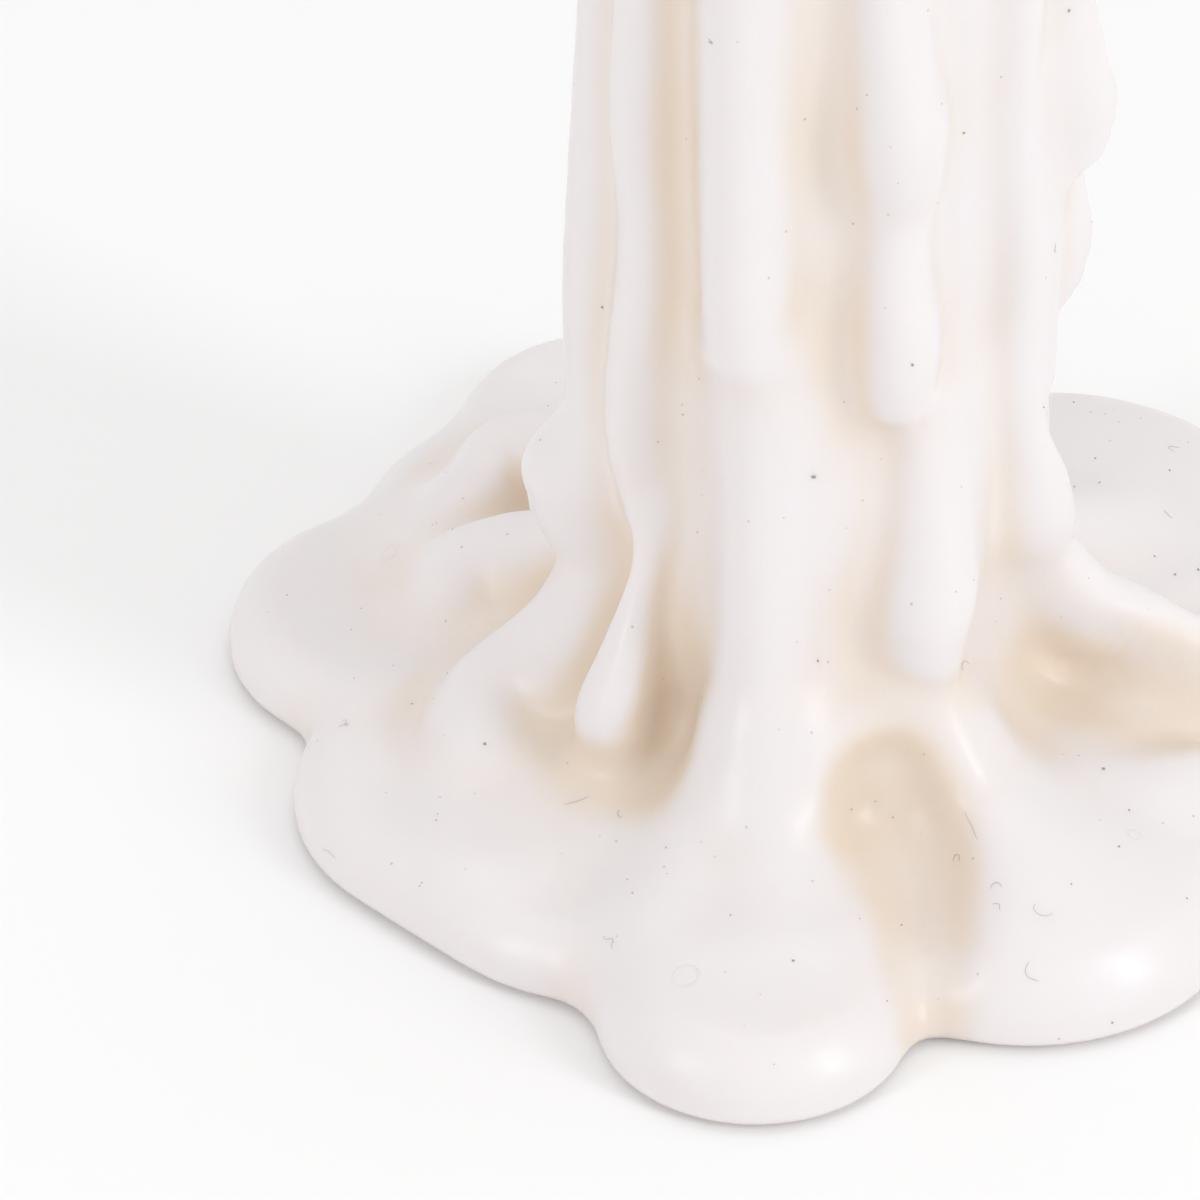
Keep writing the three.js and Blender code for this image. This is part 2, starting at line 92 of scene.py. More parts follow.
# The runs on the stick. Each has the softness of its join, then stations from the top down:
# height, direction round the stick in degrees, distance of its middle from the axis, radius.
RUNS = [
    # front, from the left to the right
    [2.8, [[114, -176, 12.2, 3.3], [104, -176, 12.8, 3.9], [93, -177, 13.2, 4.4], [81, -178, 12.8, 3.9],
           [62, -178, 12.9, 4], [50, -178, 13.3, 4.2], [40, -178, 13.7, 4.2], [30, -177, 13.5, 4.2],
           [18, -175, 13.8, 4.4], [10, -172, 15.2, 4.6]]],
    [3.2, [[109, -150, 13, 1.8], [100, -150, 13.8, 2.4], [94, -150, 14.1, 2.7], [88, -150, 13.9, 2.1],
           [66, -149, 14.2, 2.2], [58, -149, 14.4, 2.3], [49, -148.5, 14.1, 1.9], [40, -149, 14.5, 2.2],
           [36, -149.5, 14.6, 2.3], [30, -149, 14.3, 2.1], [27, -148, 13.8, 1.7]]],
    [1.8, [[116, -134, 12.8, 2.2], [104, -134, 13.2, 2.2], [94, -133, 13.7, 2.6], [89, -133, 13.7, 2.5]]],
    [3.4, [[111, -116, 12.3, 2.4], [98, -117, 13.1, 2.8], [84, -117, 13.4, 2.9], [61, -115, 14, 2.8],
           [53, -114, 14.3, 2.9], [47, -113, 14.7, 2.8], [44.2, -113, 14.6, 2.5]]],
    [4.4, [[42, -110, 11.6, 3], [36, -109, 12.8, 3.4], [30, -108, 13.6, 3.5], [24, -106.5, 14.4, 3.4],
           [17, -105.5, 15.4, 3.2], [11, -105.5, 16.6, 3.2]]],
    [1.6, [[113, -97, 12.8, 2], [100, -96, 13.4, 2.3], [88, -95, 14.2, 2.9], [84, -95, 14.2, 2.7]]],
    [2.8, [[116, -77, 13, 2.4], [105, -77, 13.5, 2.4], [97, -77, 13.9, 2.9], [91, -77, 13.5, 2.2],
           [80, -77, 13.5, 2.1], [72, -77, 13.7, 2], [66, -75, 14, 2.4], [60.5, -73, 14.5, 2.9],
           [57, -73, 14.4, 2.5], [53.5, -73, 14, 1.8], [50, -73, 14.1, 2], [45.5, -72, 14.5, 2.5],
           [42, -72, 14.6, 2.4], [40.4, -72, 14.5, 2.1]]],
    [1.8, [[110, -53, 12.8, 2], [96, -52, 13.6, 2.4], [86, -51, 14.2, 2.9], [83, -51, 14.1, 2.7]]],
    [4.0, [[38, -54, 11.6, 2.4], [20, -56, 12.8, 3]]],
    [4.0, [[30, -87, 10.2, 2.4], [22, -86, 11.2, 2.5], [15, -85, 13, 2.7]]],
    [2.6, [[38.5, -64, 13.8, 1.1], [33, -62.5, 14.4, 1.8], [28, -63, 15.2, 2.7], [23.4, -64, 15.8, 3.5],
           [20.6, -64, 15.8, 3.4]]],
    [2.4, [[115, -31, 13.1, 2.1], [101, -31, 13.7, 2.5], [95, -30, 13.4, 2], [72, -30, 13.3, 1.8],
           [55, -29, 13.4, 1.8], [46, -27, 14, 1.9], [38, -28, 13.8, 2], [30.5, -24, 14.2, 2.3],
           [25, -20, 14.6, 2.5]]],
    [2.0, [[108, -8, 12.4, 2.6], [96, -8, 13.4, 3.4], [86, -8, 13.2, 3], [72, -8, 13.5, 3.3],
           [64, -8, 14, 3.3], [58.5, -7, 15, 3.4], [55.5, -6, 15.6, 3.5], [53.6, -6, 15.4, 3.3]]],
    [2.0, [[60, -14, 13, 3], [48, -14, 13.2, 2.8], [36, -16, 13.4, 2.6]]],
    [1.8, [[116, 14, 12.9, 2.4], [104, 14, 13.5, 2.5], [95, 14, 14.2, 3], [90, 14, 13.8, 2.6],
           [66, 14, 13.4, 2.7], [52, 14, 14, 2.7], [46, 13, 14.8, 3], [41.2, 13, 15.2, 3.2],
           [39.8, 13, 15.1, 3]]],
    [3.0, [[44, 5, 12.4, 2.9], [30, 8, 12.6, 2.9], [18, 14, 13.2, 3.4]]],
    # drops low on the left side and at the front left
    [1.8, [[31.5, 179, 13.6, 2.2], [29, 179.5, 14.6, 3.5], [25, 180, 16, 4.8], [22.8, 180, 15.8, 4.6]]],
    [2.2, [[28.5, -143, 13.6, 0.8], [24.5, -143, 14.6, 1.1], [20, -142.5, 15.8, 1.5], [16, -142, 17, 2.2],
           [12.8, -142, 18, 2.7], [11.8, -142, 18.2, 2.7]]],
    # back, from the right to the left
    [2.4, [[112, 36, 12.9, 2.2], [96, 35, 13.4, 2.4], [80, 34, 13.6, 2.7], [66, 35, 14.2, 3.2],
           [61, 36, 14, 2.6], [56, 35, 13.6, 2.1], [40, 36, 14, 2.6], [30, 38, 14.6, 3.2],
           [26, 38, 14.4, 2.7]]],
    [2.4, [[115, 60, 12.6, 2.6], [100, 60, 13, 2.8], [82, 60, 13.9, 3.4], [77, 60, 13.6, 2.8],
           [50, 60, 13.8, 3.5], [44, 60, 13.4, 2.8], [30, 61, 13.4, 2.8], [14, 62, 15.5, 3.6]]],
    [1.8, [[110, 84, 13, 2], [96, 84, 13.6, 2.5], [86, 85, 14, 3.2], [80, 85, 13.6, 2.3],
           [60, 86, 13.7, 2.3], [40, 88, 14.2, 2.8], [31, 88, 15, 3.6], [27.5, 88, 14.8, 3]]],
    [2.4, [[116, 108, 12.4, 2.8], [100, 107, 13, 3.4], [86, 108, 12.8, 3], [66, 109, 13.4, 3.6],
           [56, 110, 13.6, 3.4], [53, 110, 13.4, 3]]],
    [2.4, [[50, 112, 12.6, 2.8], [30, 114, 13.2, 3.4], [14, 118, 15.5, 4]]],
    [1.8, [[116, 131, 13.1, 2.3], [103, 132, 13.9, 2.9], [97, 132, 13.6, 2.3], [84, 132, 13.8, 2.6],
           [72, 132, 14.4, 3.3], [68, 132, 14, 2.6], [56, 133, 13.6, 2], [44, 134, 14, 2.4],
           [36, 136, 14.6, 3], [33, 136, 14.4, 2.5]]],
    [2.2, [[111, 157, 12.6, 2.4], [90, 157, 13.5, 3.4], [82, 156, 13.2, 2.8], [58, 156, 13.2, 3.2],
           [40, 156, 13.2, 3], [24, 156, 14, 3.4]]],
]

# Tongues of wax that flow from the stick's foot over the puddle. Each has the softness of its
# join, then stations outwards: direction in degrees, distance from the axis, height, radius.
TONGUES = [
    [3.6, [[122, 14, 15, 3.6], [124, 24, 11.2, 3.4], [126, 30.6, 8.9, 3.3], [130.4, 33.9, 7.4, 3.2],
           [135, 33.2, 6.3, 3.1], [141, 32.6, 5.5, 3], [148, 32.4, 4.4, 2.8]]],
    [4.0, [[152, 13, 15, 4], [150, 20, 9.8, 3.8], [151, 24.6, 8, 3.7], [154, 27.2, 6.6, 3.7],
           [157, 27.6, 5.4, 3.5]]],
    [3.6, [[-174, 14, 13, 4], [-176, 19.5, 8.8, 3.7], [-174, 22.4, 7, 3.6], [-170, 23.9, 5.9, 3.5],
           [-165, 24.2, 4.8, 3.3]]],
    [3.4, [[-107, 16.2, 13, 3], [-110, 18.8, 9.2, 3.2], [-112.5, 22, 6, 3.4], [-114, 26, 3.6, 3.4]]],
    [3.4, [[-103, 16.4, 13, 3.2], [-100, 19.2, 9.4, 3.4], [-98.5, 22.6, 6.2, 3.6], [-98, 27.4, 3.4, 3.6]]],
    [4.0, [[-64, 14, 12, 5], [-59, 19, 7, 5.2], [-55, 24.5, 3.4, 5.2]]],
    [4.4, [[-21, 13.8, 26, 2.6], [-13, 14.8, 20.4, 2.7], [-8, 17.6, 15.4, 3], [-5, 21.4, 12.2, 3.3],
           [-3, 25, 9.2, 3.5], [-1, 29, 6.6, 3.6], [1, 33, 4.4, 3.6]]],
    [3.0, [[-32, 25.3, 3, 4], [-28, 27, 4, 4], [-22, 28.5, 4, 4]]],
    [5.0, [[-92, 15.4, 12.6, 2.8], [-78, 15.6, 12.8, 2.8], [-66, 15.4, 12.8, 2.8]]],
    [4.0, [[40, 14, 14, 3.8], [42, 20, 8.6, 3.8], [40, 27, 5.2, 3.6]]],
    [4.0, [[86, 14, 15, 4], [86, 20, 9, 4], [82, 27, 5, 3.8], [76, 33, 3, 3.4]]],
]

# Hollows left between the tongues, given as the tongues are.
HOLLOWS = [
    [4.2, [[-77, 19.6, 12.4, 1.7], [-75.6, 21.2, 10, 2.1], [-75.4, 23.8, 8.2, 2.3], [-76, 27, 7.2, 2],
           [-77.2, 31, 6.6, 1.6], [-78.5, 35, 6, 1.2]]],
    [4.0, [[-47, 18.2, 20.5, 2.6], [-32, 19.2, 16.6, 3], [-24, 21.2, 13.8, 3], [-17, 23.4, 11.6, 2.8],
           [-12, 27, 10, 2.4], [-10, 32, 8.8, 2]]],
    [4.0, [[-131, 18.7, 37, 3], [-131, 18.6, 30, 3.4], [-130, 18.8, 23, 2.6]]],
]

# Dips in the pool's rim where the wax ran over, given as the tongues are.
RIM_DIPS = [
    [2.4, [[-75, 8, 120.2, 3.2], [-75, 18, 118.8, 3.2]]],
    [2.4, [[14, 8, 120.4, 3], [14, 18, 119.2, 3]]],
    [2.4, [[131, 8, 120, 3.4], [131, 18, 118.4, 3.4]]],
    [2.0, [[-176, 8, 120.8, 3], [-176, 18, 119.8, 3]]],
]

# Balls between two stations of a tongue, and how far round a shape its distance is worked out.
TONGUE_STEPS = 4
NEARBY = 8.0


def smooth_min(a, b, blend):
    """The lower of two distances, rounded where they are within a blend of each other."""
    share = np.maximum(blend - np.abs(a - b), 0.0) / blend
    return np.minimum(a, b) - share * share * blend * 0.25


def smooth_max(a, b, blend):
    """The higher of two distances, rounded in the same way."""
    return -smooth_min(-a, -b, blend)


class SmoothTable:
    """Rows of values that pass through their stations with rounded slopes between them."""

    def __init__(self, stations, rows):
        self.stations = np.array(stations, float)
        self.rows = np.array(rows, float)
        widths = np.diff(self.stations)[:, None]
        before = widths[:-1]
        after = widths[1:]
        between = np.diff(self.rows, axis=0) / widths
        self.slopes = np.empty_like(self.rows)
        self.slopes[0] = between[0]
        self.slopes[-1] = between[-1]
        self.slopes[1:-1] = (between[:-1] * after + between[1:] * before) / (after + before)

    def at(self, places):
        """The row of values at each place."""
        i = np.clip(np.searchsorted(self.stations, places) - 1, 0, len(self.stations) - 2)
        width = (self.stations[i + 1] - self.stations[i])[:, None]
        u = (places - self.stations[i])[:, None] / width
        rise = self.rows[i] * (1 + 2 * u) * (1 - u) ** 2 + self.rows[i + 1] * u * u * (3 - 2 * u)
        return rise + width * (self.slopes[i] * u * (1 - u) ** 2 + self.slopes[i + 1] * u * u * (u - 1))


class Run:
    """A run down the stick: where its middle is and how thick it is at each height."""

    def __init__(self, blend, stations):
        self.blend = blend
        rising = np.array(stations[::-1], float)
        turn = np.radians(rising[:, 1])
        rows = np.stack([rising[:, 2] * np.cos(turn), rising[:, 2] * np.sin(turn), rising[:, 3]], 1)
        self.table = SmoothTable(rising[:, 0], rows)
        reach = rows[:, 2].max() + NEARBY
        self.low = np.array([*rows[:, :2].min(0), rising[0, 0]]) - reach
        self.high = np.array([*rows[:, :2].max(0), rising[-1, 0]]) + reach

    def distance(self, points):
        """How far points are from the run's surface."""
        height = np.clip(points[:, 2], self.table.stations[0], self.table.stations[-1])
        middle = self.table.at(height)
        offset = points - np.column_stack([middle[:, :2], height])
        return np.sqrt((offset * offset).sum(1)) - middle[:, 2]


class Chain:
    """A tongue, hollow or dip: a smooth chain of balls, each joined to the next by a cone."""

    def __init__(self, blend, stations):
        self.blend = blend
        given = np.array(stations, float)
        turn = np.radians(given[:, 0])
        rows = np.column_stack([given[:, 1] * np.cos(turn), given[:, 1] * np.sin(turn), given[:, 2:]])
        table = SmoothTable(np.arange(len(rows)), rows)
        self.balls = table.at(np.linspace(0, len(rows) - 1, (len(rows) - 1) * TONGUE_STEPS + 1))
        reach = self.balls[:, 3].max() + NEARBY
        self.low = self.balls[:, :3].min(0) - reach
        self.high = self.balls[:, :3].max(0) + reach

    def distance(self, points):
        """How far points are from the chain's surface."""
        nearest = np.full(len(points), np.inf)
        for a, b in zip(self.balls[:-1], self.balls[1:]):
            line = b[:3] - a[:3]
            t = np.clip((points - a[:3]) @ line / (line @ line), 0, 1)
            offset = points - a[:3] - t[:, None] * line
            gap = np.sqrt((offset * offset).sum(1)) - (a[3] + (b[3] - a[3]) * t)
            nearest = np.minimum(nearest, gap)
        return nearest


def distance_near(shape, points):
    """The distance to a shape, worked out only near it. Everywhere else the shape is left out."""
    near = np.nonzero(((points > shape.low) & (points < shape.high)).all(1))[0]
    result = np.full(len(points), np.inf)
    result[near] = shape.distance(points[near])
    return result


def distance_to_lobe(lobe, points):
    """A lobe of the puddle: a disc with a rounded rim and a slightly raised or sunken crown."""
    centre_x, centre_y, radius, thickness, crown = lobe
    distance = np.hypot(points[:, 0] - centre_x, points[:, 1] - centre_y)
    top = thickness + crown * (1 - np.minimum(distance / radius, 1) ** 2)
    out = distance - (radius - RIM_ROUND)
    up = points[:, 2] - (top - RIM_ROUND)
    return np.minimum(np.maximum(out, up), 0) + np.hypot(np.maximum(out, 0), np.maximum(up, 0)) - RIM_ROUND


ALL_RUNS = [Run(*run) for run in RUNS]
ALL_TONGUES = [Chain(*tongue) for tongue in TONGUES]
ALL_HOLLOWS = [Chain(*hollow) for hollow in HOLLOWS]
ALL_RIM_DIPS = [Chain(*dip) for dip in RIM_DIPS]


def outside_wax(points):
    """How far points are outside the wax, or inside it where the value is negative."""
    from_axis = np.hypot(points[:, 0], points[:, 1])
    height = points[:, 2]
    foot_share = np.clip(height / STICK_FOOT_HEIGHT, 0, 1)
    stick_radius = STICK_FOOT_RADIUS + (STICK_RADIUS - STICK_FOOT_RADIUS) * foot_share
    stick = smooth_max(from_axis - stick_radius, height - WAX_TOP, TOP_EDGE_BLEND)
    for run in ALL_RUNS:
        stick = smooth_min(stick, distance_near(run, points), run.blend)
    puddle = distance_to_lobe(LOBES[0], points)
    for lobe in LOBES[1:]:
        puddle = smooth_min(puddle, distance_to_lobe(lobe, points), LOBE_BLEND)
    wax = smooth_min(stick, puddle, FOOT_BLEND)
    for tongue in ALL_TONGUES:
        wax = smooth_min(wax, distance_near(tongue, points), tongue.blend)
    for hollow in ALL_HOLLOWS:
        wax = smooth_max(wax, -distance_near(hollow, points), hollow.blend)
    pool = np.hypot(from_axis, height - POOL_CENTRE_HEIGHT) - POOL_RADIUS
    wax = smooth_max(wax, -pool, POOL_EDGE_BLEND)
    for dip in ALL_RIM_DIPS:
        wax = smooth_max(wax, -distance_near(dip, points), dip.blend)
    return smooth_max(wax, -height, UNDERSIDE_BLEND)


# ---------------------------------------------------------------------------------------------
# The skin of the wax: lines sent at it in every direction's upright plane, then evened out.
# ---------------------------------------------------------------------------------------------

# The centres that the lines aim at or leave from, and the number of lines on each stretch.
RIM_CENTRE_INSET = 3.4
RIM_CENTRE_HEIGHT = 2.0
RIM_STATIONS = 26
RIM_FIRST_ANGLE = math.radians(-24)
PUDDLE_STATIONS = 24
FOOT_CENTRE = (26.5, 16.0)
FOOT_STATIONS = 42
STICK_TOP_STATION = 113.0
STICK_STATIONS = 150
TOP_CENTRE_DISTANCE = 11.0
TOP_STATIONS = 20
POOL_STATIONS = 22
UNDERSIDE_SHARES = (0.3, 0.65, 1.0)
CHANNEL_STATIONS = 2
QUARTER_TURN = math.pi / 2

# How far off the lines start: from the axis, from the rim's and the top's centres, and over the
# top. Then how far under the top the channel's first ring lies.
OUTSIDE = 75.0
RIM_LINE_LENGTH = 20.0
TOP_LINE_LENGTH = 14.0
START_OVER_TOP = 6.0
CHANNEL_TOP_DEPTH = 12.0

# How a line steps up to the wax and closes in on it.
LONGEST_STEP = 5.0
SHORTEST_STEP = 0.05
STEP_SHARE = 0.75
MOST_STEPS = 120
HALVINGS = 8

# How the points are spread afterwards, and how far one round may set a point back.
EVENING_ROUNDS = 8
EVENING_SHARE = 0.5
LONGEST_RETURN = 0.5


def in_space(plane_points, turns):
    """Distance and height in each direction's upright plane, as x, y and z."""
    turns = turns[:, None]
    distance = plane_points[..., 0]
    return np.stack([distance * np.cos(turns), distance * np.sin(turns), plane_points[..., 1]], -1)


def meet_wax(starts, headings):
    """Where straight lines through open air first meet the wax, as lengths along them."""
    shape = starts.shape[:-1]
    starts = starts.reshape(-1, 3)
    headings = headings.reshape(-1, 3)
    before = np.zeros(len(starts))
    after = np.zeros(len(starts))
    travelling = np.arange(len(starts))
    for _ in range(MOST_STEPS):
        gap = outside_wax(starts[travelling] + after[travelling, None] * headings[travelling])
        still = gap > 0
        travelling = travelling[still]
        if not len(travelling):
            break
        before[travelling] = after[travelling]
        after[travelling] += np.clip(gap[still] * STEP_SHARE, SHORTEST_STEP, LONGEST_STEP)
    for _ in range(HALVINGS):
        middle = (before + after) / 2
        outside = outside_wax(starts + middle[:, None] * headings) > 0
        before = np.where(outside, middle, before)
        after = np.where(outside, after, middle)
    return after.reshape(shape)


def lines_towards(centres, angles, reach):
    """Lines that arrive from outside at each direction's centre, at angles above the level."""
    aim = np.stack([np.cos(angles), np.sin(angles)], -1)
    starts = centres[:, None] + reach * aim
    return starts, np.broadcast_to(-aim, starts.shape)


def lines_from(centres, angles):
    """Lines that leave each direction's centre inwards, at angles below the level."""
    aim = np.stack([-np.cos(angles), -np.sin(angles)], -1)
    starts = np.broadcast_to(centres[:, None], (len(centres), len(angles), 2))
    return starts, np.broadcast_to(aim, starts.shape)


def parallel_lines(distances, heights, heading):
    """Lines side by side in each direction's plane, from given distances and heights."""
    starts = np.stack(np.broadcast_arrays(distances, heights), -1).astype(float)
    return starts, np.broadcast_to(np.array(heading, float), starts.shape)


def wax_grid(count):
    """The skin as a grid of points: one row for each direction, from the underside to the wick."""
    turns = np.linspace(0, 2 * math.pi, count, endpoint=False)
    zeros = np.zeros((count, 1))
    starts, headings = parallel_lines(zeros + OUTSIDE, zeros + RIM_CENTRE_HEIGHT, (-1, 0))
    travelled = meet_wax(in_space(starts, turns), in_space(headings, turns))
    rim_centre = OUTSIDE - travelled[:, 0] - RIM_CENTRE_INSET
    rim_centres = np.column_stack([rim_centre, np.full(count, RIM_CENTRE_HEIGHT)])
    foot_centres = np.tile(FOOT_CENTRE, (count, 1))
    top_centres = np.tile((TOP_CENTRE_DISTANCE, STICK_TOP_STATION), (count, 1))
    shares = np.linspace(0, 1, PUDDLE_STATIONS + 2)[1:-1]
    puddle_distances = rim_centre[:, None] + (FOOT_CENTRE[0] - rim_centre[:, None]) * shares
    stick_heights = np.linspace(FOOT_CENTRE[1], STICK_TOP_STATION, STICK_STATIONS)[1:]
    rim_angles = np.linspace(RIM_FIRST_ANGLE, QUARTER_TURN, RIM_STATIONS)
    top_angles = np.linspace(0, QUARTER_TURN, TOP_STATIONS + 1)[1:]
    pool_distances = np.linspace(TOP_CENTRE_DISTANCE, WICK_CHANNEL_RADIUS, POOL_STATIONS + 1)[1:]
    fans = [
        lines_towards(rim_centres, rim_angles, RIM_LINE_LENGTH),
        parallel_lines(puddle_distances, FOOT_CENTRE[1], (0, -1)),
        lines_from(foot_centres, np.linspace(QUARTER_TURN, 0, FOOT_STATIONS)),
        parallel_lines(FOOT_CENTRE[0], zeros + stick_heights, (-1, 0)),
        lines_towards(top_centres, top_angles, TOP_LINE_LENGTH),
        parallel_lines(zeros + pool_distances, WAX_TOP + START_OVER_TOP, (0, -1)),
    ]
    starts = np.concatenate([fan[0] for fan in fans], 1)
    headings = np.concatenate([fan[1] for fan in fans], 1)
    starts = in_space(starts, turns)
    headings = in_space(headings, turns)
    skin = starts + meet_wax(starts, headings)[..., None] * headings
    underside = [np.column_stack([rim_centre * share, np.zeros(count)]) for share in UNDERSIDE_SHARES]
    channel_heights = np.linspace(WAX_TOP - CHANNEL_TOP_DEPTH, WICK_CHANNEL_FLOOR, CHANNEL_STATIONS)
    channel = [np.tile((WICK_CHANNEL_RADIUS, height), (count, 1)) for height in channel_heights]
    rings = [in_space(np.stack(underside, 1), turns), skin, in_space(np.stack(channel, 1), turns)]
    return np.concatenate(rings, 1)


def grid_normals(grid):
    """The outward direction at each point of the grid."""
    around = np.roll(grid, -1, 0) - np.roll(grid, 1, 0)
    along = np.gradient(grid, axis=1)
    normals = np.cross(around, along)
    return normals / np.maximum(np.linalg.norm(normals, axis=-1, keepdims=True), 1e-9)


def even_out(grid):
    """Spreads the skin's points evenly and sets them back on the wax."""
    free = slice(len(UNDERSIDE_SHARES) + 1, -CHANNEL_STATIONS - 1)
    for _ in range(EVENING_ROUNDS):
        around = (np.roll(grid, 1, 0) + np.roll(grid, -1, 0)) / 2
        along = (grid[:, :-2] + grid[:, 2:]) / 2
        moved = grid.copy()
        moved[:, 1:-1] += EVENING_SHARE * ((around[:, 1:-1] + along) / 2 - grid[:, 1:-1])
        moved = moved[:, free]
        normals = grid_normals(grid)[:, free]
        gap = outside_wax(moved.reshape(-1, 3)).reshape(moved.shape[:2])
        grid[:, free] = moved - normals * np.clip(gap, -LONGEST_RETURN, LONGEST_RETURN)[..., None]
    return grid


# How far out the wax is felt for round a point, and how much each distance counts, for the painted shade.
HOLLOW_REACHES = (0.8, 1.8, 3.6, 6.0)
HOLLOW_WEIGHTS = (0.12, 0.2, 0.32, 0.36)


def painted_shade_amount(points, normals):
    """How much wax stands round each point: 0 on a ridge, towards 1 deep in a hollow. It sets how much
    painted shade the wax material puts there.
    """
    total = np.zeros(len(points))
    for reach, weight in zip(HOLLOW_REACHES, HOLLOW_WEIGHTS):
        gap = outside_wax(points + normals * reach)
        total += weight * np.clip((reach - gap) / reach, 0, 1)
    return total


# Length and height of the waves, and how far they stay off the underside and the channel.
WAVE_SIZES = ((7.0, 0.07), (2.6, 0.022))
WAVELESS_FOOT = 0.4
WAVELESS_COLLAR = 0.5


def gentle_waves(points):
    """The slight unevenness of wax that set while it flowed, as heights along the normal."""
    heights = np.zeros(len(points))
    for size, depth in WAVE_SIZES:
        heights += depth * np.array([noise.noise(Vector(point / size)) for point in points])
    return heights


# ---------------------------------------------------------------------------------------------
# The wick's path and braid, in millimetres.
# ---------------------------------------------------------------------------------------------

# The foot, the start of the bend, and the points that draw the lean of the burnt end over.
WICK_FOOT = (0.0, 0.0, 3.3)
WICK_BEND = (0.0, 0.0, 116.5)
WICK_LEAN = ((0.0, 0.0, 119.5), (0.5, -0.3, 122.0), (2.4, -1.2, 124.0))

# The rings of the straight stretch, sparse up to one share of it and close from another, and
# those of the lean.
HIDDEN_SHARE = 0.955
HIDDEN_RINGS = 60
SHOWN_SHARE = 0.96
SHOWN_RINGS = 44
LEANING_RINGS = 90

# The braid's swing to each side and to the front and back, and the yarns on each strand.
BRAID_WIDTH = 0.5
BRAID_DEPTH = 0.24
STRAND_CORNERS = 14
YARN_RIDGES = 5
YARN_RIDGE_SHARE = 0.1
YARN_TWIST = 9.0

# The burnt end: how much it shrinks and crumbles, and how its strands stop one after another.
BURNT_SHRINKAGE = 0.3
CRUMBLE_SHARE = 0.5
CRUMBLES_PER_MM = 1.9
STRAND_NOISE_SHIFT = 7.0
STRAND_STAGGER = 0.12
STRAND_TAPER = 0.35
STRAND_TIP_SHARE = 0.02


def wick_path():
    """Points along the wick's middle, close together where it stands clear of the wax."""
    foot = np.array(WICK_FOOT)
    bend = np.array(WICK_BEND)
    hidden = foot + (bend - foot) * np.linspace(0, HIDDEN_SHARE, HIDDEN_RINGS)[:, None]
    shown = foot + (bend - foot) * np.linspace(SHOWN_SHARE, 1, SHOWN_RINGS)[:, None]
    t = np.linspace(0, 1, LEANING_RINGS)[1:, None]
    first, second, tip = (np.array(point) for point in WICK_LEAN)
    lean = bend * (1 - t) ** 3 + 3 * first * t * (1 - t) ** 2 + 3 * second * t * t * (1 - t) + tip * t ** 3
    return np.concatenate([hidden, shown, lean])


def carried_frames(path):
    """Two directions across the path at each point, carried along it without twisting."""
    headings = np.gradient(path, axis=0)
    headings /= np.linalg.norm(headings, axis=1, keepdims=True)
    side = np.array([1.0, 0.0, 0.0])
    sides = []
    for heading in headings:
        side = side - heading * (side @ heading)
        side = side / np.linalg.norm(side)
        sides.append(side)
    sides = np.array(sides)
    return sides, np.cross(headings, sides)


def tube(centres, sides, fronts, radii, corners):
    """Vertices and faces of a closed tube: radii has one value for each ring and corner."""
    turns = np.linspace(0, 2 * math.pi, corners, endpoint=False)
    rings = (centres[:, None]
             + radii[..., None] * (np.cos(turns)[None, :, None] * sides[:, None]
                                   + np.sin(turns)[None, :, None] * fronts[:, None]))
    count = len(centres)
    vertices = np.concatenate([rings.reshape(-1, 3), centres[:1], centres[-1:]])
    faces = []
    for ring in range(count - 1):
        for corner in range(corners):
            after = (corner + 1) % corners
            faces.append((ring * corners + corner, ring * corners + after,
                          (ring + 1) * corners + after, (ring + 1) * corners + corner))
    for corner in range(corners):
        after = (corner + 1) % corners
        last = (count - 1) * corners
        faces.append((after, corner, count * corners))
        faces.append((last + corner, last + after, count * corners + 1))
    return vertices, faces


# ---------------------------------------------------------------------------------------------
# Settings that a user would change.
# ---------------------------------------------------------------------------------------------


def length(name, description, default):
    """A setting in metres."""
    return FloatProperty(name=name, description=description, default=default, unit="LENGTH", precision=5)


def colour(name, description, default):
    """A colour setting."""
    return FloatVectorProperty(name=name, description=description, default=default,
                               subtype="COLOR", size=3, min=0.0, max=1.0)


class WaxSettings(bpy.types.PropertyGroup):
    """The wax's fineness and finish."""

    directions: IntProperty(name="Directions", description="Outlines round the candle", default=330, min=40)
    # The wax's own colour, shown wherever no painted shade is mixed in.
    ridge_colour: colour("Ridge colour", "Wax where it stands proud", (0.795, 0.76, 0.765))
    # Painted shade: a warmer, darker wax colour painted deep between the runs, standing in for shade and
    # light bounced inside the wax.
    painted_hollow_shade: colour("Hollow colour", "Wax deep between the runs", (0.765, 0.665, 0.56))
    scatter_distance: length("Scatter distance", "How far light travels inside the wax", 0.0022)
    scatter_share: FloatVectorProperty(name="Scatter share", description="Share of that distance by colour",
                                       default=(1.0, 0.68, 0.48), size=3)
    roughness: FloatProperty(name="Roughness", description="How soft its reflections are", default=0.32,
                             min=0.0, max=1.0, subtype="FACTOR")
    striae_depth: length("Striae depth", "Height of the fine drawn lines", 0.000005)


class WickSettings(bpy.types.PropertyGroup):
    """The braided wick."""

    strands: IntProperty(name="Strands", description="Strands in the braid", default=3, min=2)
    strand_radius: length("Strand radius", "Radius of one strand", 0.00042)
    braid_pitch: length("Braid pitch", "Length in which a strand crosses over and back", 0.0034)
    char_colour: colour("Char colour", "Burnt cotton", (0.018, 0.015, 0.013))
    ash_colour: colour("Ash colour", "Burnt-out tips", (0.2, 0.19, 0.18))
    cotton_colour: colour("Cotton colour", "Cotton soaked in wax", (0.62, 0.52, 0.4))


